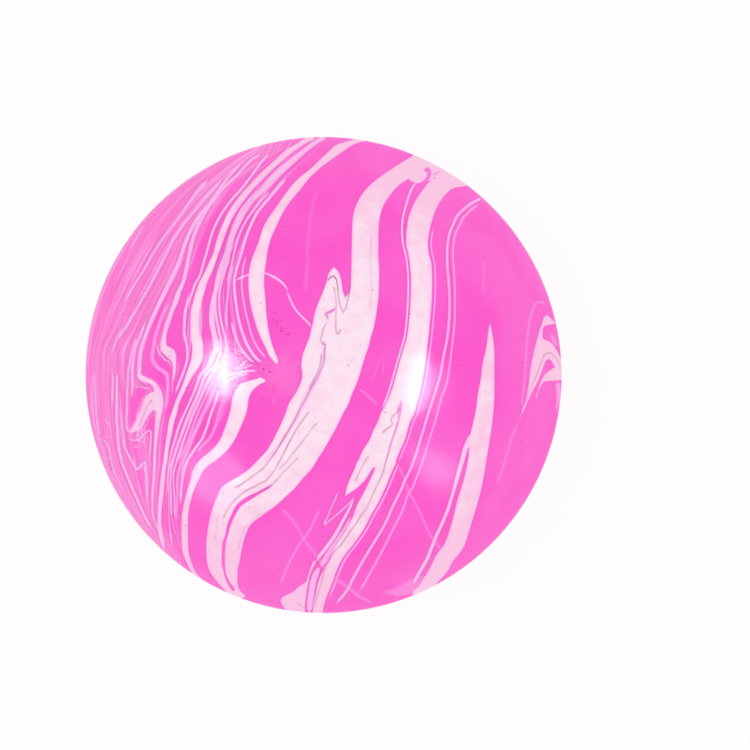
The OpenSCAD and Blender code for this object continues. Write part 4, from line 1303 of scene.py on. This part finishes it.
def plain_skin_material(colours):
    """The seal's plain pink, with the tips of the streaks that were smeared over it."""
    material, sketch, shader = start_material("plain_skin")
    place, parts = marbling_place(sketch)
    across, along = parts["X"], parts["Y"]
    marbling = Marbling(sketch, across, along)
    marbling.ribbons(named(RIBBONS, SMEARED_RIBBONS))
    haze = port_blotch(sketch, across, along)
    dust = Marbling(sketch, across, along)
    dust.lines(named(DUST, SMEARED_DUST))
    colour = skin_colour(sketch, colours, place, marbling.pale, marbling.ink, haze, dust.ink)
    sketch.fill(shader, {"Base Color": colour})
    skin_surface(sketch, shader, place)
    return material


def shade_of(colour, share):
    """A colour taken that share of the way to black."""
    return [value * (1 - share) for value in colour[:3]] + [1]


def gel_material(colours):
    """Clear tinted gel, with slow clouds and the small bubbles that filling leaves in it."""
    material, sketch, shader = start_material("gel")
    place = sketch.add("ShaderNodeTexCoord").outputs["Object"]
    cloud = sketch.ramp(sketch.noise(place, scale=140.0, detail=3.0, roughness=0.55), 0.3, 0.7)
    colour = sketch.mix(cloud, shade_of(colours.gel, 0.14), list(colours.gel))
    bubbles = dots(sketch, place, scale=420.0, rarity=0.5, size=0.2, dimensions="3D")
    colour = sketch.mix(bubbles, colour, GEL_BUBBLE)
    inputs = {"Base Color": colour, "Roughness": sketch.ramp(cloud, 0.0, 1.0, bottom=0.08, top=0.2)}
    sketch.fill(shader, {**inputs, "Transmission Weight": 0.45, "IOR": 1.4})
    return material


def plug_material(colours):
    """Matt moulded rubber, mottled, with the line where the halves of the mould met."""
    material, sketch, shader = start_material("plug_rubber")
    place = sketch.add("ShaderNodeTexCoord").outputs["Object"]
    mottle = sketch.ramp(sketch.noise(place, scale=1100.0, detail=4.0, roughness=0.6), 0.3, 0.7)
    colour = sketch.mix(mottle, shade_of(colours.plug, 0.16), list(colours.plug))
    off_line = sketch.math("ABSOLUTE", sketch.parts(place)["X"])
    mould_line = sketch.ramp(off_line, *MOULD_LINE, top=0.6)
    colour = sketch.mix(mould_line, colour, shade_of(colours.plug, 0.45))
    bump = sketch.bump(sketch.noise(place, scale=6000.0, roughness=0.6), PLUG_GRAIN)
    inputs = {"Base Color": colour, "Roughness": sketch.ramp(mottle, 0.0, 1.0, bottom=0.42, top=0.6)}
    sketch.fill(shader, {**inputs, "Normal": bump})
    return material


def glue_material(colours):
    """Clear yellowish set glue, streaked where it was spread, with pinhole bubbles."""
    material, sketch, shader = start_material("glue")
    place = sketch.add("ShaderNodeTexCoord").outputs["Object"]
    streaks = sketch.ramp(sketch.noise(place, scale=1500.0, detail=4.0, roughness=0.65), 0.3, 0.7)
    colour = sketch.mix(streaks, shade_of(colours.glue, 0.3), list(colours.glue))
    bubbles = dots(sketch, place, scale=3000.0, rarity=0.6, size=0.3, dimensions="3D")
    colour = sketch.mix(bubbles, colour, GLUE_BUBBLE)
    inputs = {"Base Color": colour, "Roughness": sketch.ramp(streaks, 0.0, 1.0, bottom=0.12, top=0.3)}
    sketch.fill(shader, {**inputs, "Transmission Weight": 0.3, "IOR": 1.48})
    return material


class Profile:
    """The outline of a round piece's half section, drawn from point to point in the plane of x and z."""

    def __init__(self, r, z):
        self.bm = bmesh.new()
        self.end = self.bm.verts.new((r, 0, z))

    def line(self, r, z, steps=1):
        step = (Vector((r, 0, z)) - self.end.co) / steps
        for _ in range(steps):
            grown = bmesh.ops.extrude_vert_indiv(self.bm, verts=[self.end])
            self.end = grown["verts"][0]
            self.end.co += step

    def arc(self, centre_r, centre_z, angle, steps):
        about = {"cent": (centre_r, 0, centre_z), "axis": (0, 1, 0)}
        made = bmesh.ops.spin(self.bm, geom=[self.end], angle=angle, steps=steps, **about)
        self.end = next(part for part in made["geom_last"] if isinstance(part, bmesh.types.BMVert))

    def revolved(self, steps):
        """The closed solid of revolution with its faces outwards, made one sector at a time."""
        bm, sector = self.bm, math.tau / SECTORS
        about = {"cent": (0, 0, 0), "axis": (0, 0, 1)}
        bmesh.ops.spin(bm, geom=bm.verts[:] + bm.edges[:], angle=sector, steps=steps // SECTORS, **about)
        made = bm.verts[:] + bm.edges[:] + bm.faces[:]
        about["use_duplicate"] = True
        bmesh.ops.spin(bm, geom=made, angle=math.tau - sector, steps=SECTORS - 1, **about)
        bmesh.ops.remove_doubles(bm, verts=bm.verts[:], dist=WELD)
        bmesh.ops.recalc_face_normals(bm, faces=bm.faces[:])
        return bm


def piece_from(bm, name, material):
    mesh = bpy.data.meshes.new(name)
    bm.to_mesh(mesh)
    bm.free()
    mesh.polygons.foreach_set("use_smooth", [True] * len(mesh.polygons))
    mesh.set_sharp_from_angle(angle=CRISP_EDGE)
    mesh.materials.append(material)
    piece = bpy.data.objects.new(name, mesh)
    bpy.context.scene.collection.objects.link(piece)
    return piece


def points_of(mesh):
    points = np.empty(len(mesh.vertices) * 3, np.float32)
    mesh.vertices.foreach_get("co", points)
    return points.reshape(-1, 3).astype(float)


def store_marbling(mesh, laid):
    attribute = mesh.attributes.new(MARBLING, "FLOAT_VECTOR", "POINT")
    attribute.data.foreach_set("vector", laid.astype(np.float32).ravel())


def on_ball(piece, node):
    """Makes a piece stand for a CAD node of the ball, on the ball's body."""
    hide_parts(node)
    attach(piece, "ball")
    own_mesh(piece)


def on_port(piece, node):
    """Makes a piece stand for a CAD node of the fill port, on the port's body."""
    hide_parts(node)
    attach(piece, "fill_port")
    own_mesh(piece)


def relief_at(flat):
    """Height of the skin's raised and sunken lines at places of the marbling, in millimetres."""
    height = np.zeros(len(flat))
    for _, rise, half_width, route in RELIEF_LINES:
        points = smooth_route(route)
        nearest = np.full(len(flat), np.inf)
        for start, end in zip(points[:-1], points[1:]):
            run = end - start
            share = np.clip((flat - start) @ run / (run @ run), 0, 1)
            nearest = np.minimum(nearest, np.linalg.norm(flat - start - share[:, None] * run, axis=1))
        height += rise * np.exp(-((nearest / half_width) ** 2))
    return height


def flare_foot(sizes):
    """Height at which the neck's flare starts."""
    hollow_r = BALL_R - SKIN_WALL
    return CENTRE_Z + math.sqrt(hollow_r**2 - (sizes.neck_diameter / 2) ** 2) - sizes.neck_flare


def flare_meets_hollow(neck_r, flare_z, hollow_r):
    """Where the neck's flare, a 45 degree cone, runs into the round hollow."""
    lift = neck_r - flare_z
    half_sum = (lift - CENTRE_Z) / 2
    z = math.sqrt(half_sum**2 - (lift**2 + CENTRE_Z**2 - hollow_r**2) / 2) - half_sum
    return neck_r + z - flare_z, z


class OBJECT_OT_ball_skin(bpy.types.Operator):
    """Make the marbled skin with its hollow, its neck and the seat of the fill port"""

    bl_idname = "object.ball_skin"
    bl_label = "Skin"

    def execute(self, context):
        settings = context.scene.squishy_ball
        shell = self.outline(settings.sizes).revolved(SKIN_STEPS)
        piece = piece_from(shell, "skin_marbled", marbled_skin_material(settings.colours))
        mesh = piece.data
        points = points_of(mesh)
        laid = lay_marbling(points, settings.stage)
        store_marbling(mesh, laid)
        out = points - np.array((0, 0, CENTRE_Z))
        distance = np.linalg.norm(out, axis=1)
        outside = (distance > BALL_R - SURFACE_SLACK) & (laid[:, 2] > 0)
        relief = relief_at(laid[outside, :2]) * MM
        points[outside] += out[outside] / distance[outside, None] * relief[:, None]
        mesh.vertices.foreach_set("co", points.astype(np.float32).ravel())
        mesh.update()
        on_ball(piece, "skin")
        return {"FINISHED"}

    def outline(self, sizes):
        """From the resting patch up the outside, through the port and the neck, and round the hollow."""
        hollow_r = BALL_R - SKIN_WALL
        fillet = sizes.rest_fillet
        flat_r = math.sqrt((BALL_R - fillet) ** 2 - (CENTRE_Z - fillet) ** 2)
        fillet_turn = math.asin(flat_r / (BALL_R - fillet))
        seat_r = SEAL_R + sizes.seat_gap
        lip_r = SEAL_R + sizes.lip_gap
        lip_turn = math.asin(lip_r / BALL_R)
        lip_z = CENTRE_Z + BALL_R * math.cos(lip_turn)
        hole_r = sizes.hole_diameter / 2
        neck_r = sizes.neck_diameter / 2
        neck_end_z = TOP_Z - sizes.neck_depth
        end_r = neck_r - sizes.neck_end_radius
        flare_z = flare_foot(sizes)
        flare_r, flare_top = flare_meets_hollow(neck_r, flare_z, hollow_r)
        floor_r = math.sqrt(hollow_r**2 - (CENTRE_Z - SKIN_WALL) ** 2)
        hollow_start = math.asin(flare_r / hollow_r)
        hollow_end = math.pi - math.asin(floor_r / hollow_r)

        profile = Profile(0, 0)
        profile.line(flat_r, 0, steps=3)
        profile.arc(flat_r, fillet, -fillet_turn, steps=6)
        profile.arc(0, CENTRE_Z, fillet_turn - QUARTER, steps=24)
        profile.arc(0, CENTRE_Z, FINE_CAP - QUARTER, steps=80)
        profile.arc(0, CENTRE_Z, lip_turn - FINE_CAP, steps=52)
        profile.line(lip_r, lip_z - sizes.lip_depth / 2)
        profile.line(seat_r, lip_z - sizes.lip_depth)
        profile.line(seat_r, GLUE_LOW.z, steps=2)
        profile.line(hole_r, GLUE_LOW.z, steps=2)
        profile.line(hole_r, neck_end_z, steps=3)
        profile.line(end_r, neck_end_z, steps=2)
        profile.arc(end_r, neck_end_z + sizes.neck_end_radius, -QUARTER, steps=4)
        profile.line(neck_r, flare_z)
        profile.line(flare_r, flare_top)
        profile.arc(0, CENTRE_Z, hollow_end - hollow_start, steps=26)
        profile.line(0, SKIN_WALL)
        return profile


class OBJECT_OT_ball_filling(bpy.types.Operator):
    """Make the gel filling with the hollow that the neck and the plug's barb leave in it"""

    bl_idname = "object.ball_filling"
    bl_label = "Gel Filling"

    def execute(self, context):
        settings = context.scene.squishy_ball
        solid = self.outline(settings.sizes).revolved(GEL_STEPS)
        piece = piece_from(solid, "gel_filling_soft", gel_material(settings.colours))
        on_ball(piece, "gel_filling")
        return {"FINISHED"}

    def outline(self, sizes):
        """From the floor of the hollow up the outside to the top, then down the neck and the barb."""
        floor_r = math.sqrt(GEL_R**2 - (CENTRE_Z - GEL_LOW.z) ** 2)
        top_r = math.sqrt(GEL_R**2 - (GEL_HIGH.z - CENTRE_Z) ** 2)
        start_turn = math.asin(floor_r / GEL_R)
        end_turn = math.asin(top_r / GEL_R)
        neck_r = sizes.neck_diameter / 2 + sizes.gel_film
        flare_z = flare_foot(sizes)
        neck_end_z = TOP_Z - sizes.neck_depth - sizes.gel_film
        end_r = neck_r - sizes.neck_end_radius
        tip_r = sizes.barb_tip_radius + sizes.gel_film
        tip_z = PLUG_LOW.z + sizes.barb_tip_radius
        barb_run = neck_end_z + sizes.gel_film - tip_z
        barb_r = tip_r + (BARB_R - sizes.barb_tip_radius) * (neck_end_z - tip_z) / barb_run

        profile = Profile(0, GEL_LOW.z)
        profile.line(floor_r, GEL_LOW.z, steps=2)
        profile.arc(0, CENTRE_Z, -(math.pi - start_turn - end_turn), steps=60)
        profile.line(neck_r + GEL_HIGH.z - flare_z, GEL_HIGH.z, steps=2)
        profile.line(neck_r, flare_z)
        profile.line(neck_r, neck_end_z + sizes.neck_end_radius, steps=2)
        profile.arc(end_r, neck_end_z + sizes.neck_end_radius, QUARTER, steps=6)
        profile.line(barb_r, neck_end_z, steps=2)
        profile.line(tip_r, tip_z, steps=4)
        profile.arc(0, tip_z, QUARTER, steps=8)
        return profile


class OBJECT_OT_ball_plug(bpy.types.Operator):
    """Make the barbed plug of the fill port"""

    bl_idname = "object.ball_plug"
    bl_label = "Fill Plug"

    def execute(self, context):
        settings = context.scene.squishy_ball
        sizes = settings.sizes
        neck_end_z = TOP_Z - sizes.neck_depth
        shank_r = sizes.hole_diameter / 2 - sizes.plug_gap
        head_r = SEAL_R + sizes.seat_gap - sizes.head_gap
        profile = Profile(0, PLUG_LOW.z)
        profile.arc(0, PLUG_LOW.z + sizes.barb_tip_radius, -QUARTER, steps=8)
        profile.line(BARB_R, neck_end_z, steps=4)
        profile.line(shank_r, neck_end_z, steps=2)
        profile.line(shank_r, GLUE_HIGH.z, steps=4)
        profile.line(head_r, GLUE_HIGH.z, steps=2)
        profile.line(head_r, PLUG_HIGH.z, steps=2)
        profile.line(0, PLUG_HIGH.z, steps=2)
        solid = profile.revolved(PLUG_STEPS)
        piece = piece_from(solid, "fill_plug_barbed", plug_material(settings.colours))
        on_port(piece, "fill_plug")
        return {"FINISHED"}


class OBJECT_OT_ball_glue(bpy.types.Operator):
    """Make the ring of glue under the plug's head"""

    bl_idname = "object.ball_glue"
    bl_label = "Glue Ring"

    def execute(self, context):
        settings = context.scene.squishy_ball
        sizes = settings.sizes
        bore_r = sizes.hole_diameter / 2 - sizes.plug_gap + sizes.seat_gap
        profile = Profile(bore_r, GLUE_LOW.z)
        profile.line(GLUE_R, GLUE_LOW.z, steps=2)
        profile.line(GLUE_R, GLUE_HIGH.z, steps=2)
        profile.line(bore_r, GLUE_HIGH.z, steps=2)
        profile.line(bore_r, GLUE_LOW.z, steps=2)
        piece = piece_from(profile.revolved(GLUE_STEPS), "glue_ring_set", glue_material(settings.colours))
        on_port(piece, "glue_ring")
        return {"FINISHED"}


class OBJECT_OT_ball_seal(bpy.types.Operator):
    """Make the plain patch that closes the fill port, flush with the skin"""

    bl_idname = "object.ball_seal"
    bl_label = "Seal"

    def execute(self, context):
        settings = context.scene.squishy_ball
        rim_turn = math.asin(SEAL_R / BALL_R)
        profile = Profile(0, SEAL_LOW.z)
        profile.line(SEAL_R, SEAL_LOW.z, steps=4)
        profile.line(SEAL_R, CENTRE_Z + BALL_R * math.cos(rim_turn), steps=3)
        profile.arc(0, CENTRE_Z, -rim_turn, steps=16)
        solid = profile.revolved(SEAL_STEPS)
        piece = piece_from(solid, "seal_button_flush", plain_skin_material(settings.colours))
        store_marbling(piece.data, lay_marbling(points_of(piece.data), settings.stage))
        on_port(piece, "seal_button")
        return {"FINISHED"}


class OBJECT_OT_ball_stage(bpy.types.Operator):
    """Make the floor, the light and the camera"""

    bl_idname = "object.ball_stage"
    bl_label = "Stage"

    def execute(self, context):
        scene = context.scene
        stage = scene.squishy_ball.stage
        scene.view_settings.view_transform = "Standard"
        centre = Vector((0, 0, CENTRE_Z))
        back = Vector((math.sin(stage.view_tilt), 0, math.cos(stage.view_tilt)))
        right = Vector((math.cos(stage.view_tilt), 0, -math.sin(stage.view_tilt)))
        up = Vector((0, 1, 0))

        camera = bpy.data.objects.new("camera", bpy.data.cameras.new("camera"))
        scene.collection.objects.link(camera)
        camera.data.lens = camera.data.sensor_width * stage.view_distance / stage.view_width
        camera.location = centre + back * stage.view_distance
        away = (camera.location - centre - right * stage.view_offset).normalized()
        camera.rotation_euler = Matrix((up.cross(away), up, away)).transposed().to_euler()
        scene.camera = camera

        bm = bmesh.new()
        bmesh.ops.create_grid(bm, x_segments=1, y_segments=1, size=FLOOR_HALF)
        piece_from(bm, "floor", floor_material(stage))

        scene.world = white_world(stage)
        view = Matrix((right, up, back)).transposed()
        for box in SOFT_BOXES:
            scene.collection.objects.link(soft_box(stage, centre, view, *box))
        return {"FINISHED"}


def soft_box(stage, centre, view, name, to_box, long_side, width, length, share):
    """An elliptical lamp that only the gloss shows, turned to the ball's middle."""
    lamp = bpy.data.objects.new(name, bpy.data.lights.new(name, "AREA"))
    direction = (view @ Vector(to_box)).normalized()
    lamp.data.shape = "ELLIPSE"
    lamp.data.size = width * stage.lamp_distance
    lamp.data.size_y = length * stage.lamp_distance
    area = math.pi / 4 * lamp.data.size * lamp.data.size_y
    lamp.data.energy = stage.lamp_level * share * math.pi * area
    lamp.location = centre + direction * stage.lamp_distance
    aside = (view @ Vector(long_side)).cross(direction).normalized()
    lamp.rotation_euler = Matrix((aside, direction.cross(aside), direction)).transposed().to_euler()
    lamp.visible_diffuse = False
    return lamp


def white_world(stage):
    """Light from all round, which the picture and the gloss show as plain white."""
    world = bpy.data.worlds.new("world")
    world.use_nodes = True
    sketch = Sketch(world.node_tree)
    level = shown_white(sketch, stage.world_level, 1.0)
    sketch.fill(world.node_tree.nodes["Background"], {"Color": WHITE, "Strength": level})
    return world


def shown_white(sketch, unseen, seen):
    """A value for the camera's rays, also in a gloss or through something clear, and one for all others."""
    path = sketch.add("ShaderNodeLightPath").outputs
    mirrored = sketch.math("MAXIMUM", path["Is Glossy Ray"], path["Is Transmission Ray"])
    return sketch.ramp(sketch.math("MAXIMUM", path["Is Camera Ray"], mirrored), 0.0, 1.0, unseen, seen)


def floor_material(stage):
    """A matt floor that is mostly plain white to the camera."""
    material = bpy.data.materials.new("floor")
    material.use_nodes = True
    tree = material.node_tree
    tree.nodes.clear()
    sketch = Sketch(tree)
    share = shown_white(sketch, stage.floor_glow, stage.floor_white)
    matt = sketch.add("ShaderNodeBsdfDiffuse", {"Color": FLOOR_GREY}).outputs[0]
    white = sketch.add("ShaderNodeEmission", {"Color": WHITE, "Strength": 1.0}).outputs[0]
    both = sketch.add("ShaderNodeMixShader", {0: share, 1: matt, 2: white}).outputs[0]
    sketch.add("ShaderNodeOutputMaterial", {"Surface": both})
    return material


class VIEW3D_PT_squishy_ball(bpy.types.Panel):
    """Lists the ball's settings and pieces"""

    bl_label = "Squishy Ball"
    bl_idname = "VIEW3D_PT_squishy_ball"
    bl_space_type = "VIEW_3D"
    bl_region_type = "UI"
    bl_category = "Squishy Ball"

    def draw(self, context):
        settings = context.scene.squishy_ball
        for group in (settings.sizes, settings.colours, settings.stage):
            box = self.layout.box()
            for name in group.__annotations__:
                box.prop(group, name)
        for operator in OPERATORS:
            self.layout.operator(operator.bl_idname)


OPERATORS = (
    OBJECT_OT_ball_stage,
    OBJECT_OT_ball_skin,
    OBJECT_OT_ball_filling,
    OBJECT_OT_ball_plug,
    OBJECT_OT_ball_glue,
    OBJECT_OT_ball_seal,
)
CLASSES = (BallSizes, BallColours, StageSettings, BallSettings, *OPERATORS, VIEW3D_PT_squishy_ball)


def register():
    for cls in CLASSES:
        bpy.utils.register_class(cls)
    bpy.types.Scene.squishy_ball = bpy.props.PointerProperty(type=BallSettings)


def unregister():
    del bpy.types.Scene.squishy_ball
    for cls in reversed(CLASSES):
        bpy.utils.unregister_class(cls)


def main():
    register()
    bpy.ops.object.ball_stage()
    bpy.ops.object.ball_skin()
    bpy.ops.object.ball_filling()
    bpy.ops.object.ball_plug()
    bpy.ops.object.ball_glue()
    bpy.ops.object.ball_seal()


if __name__ == "__main__":
    main()
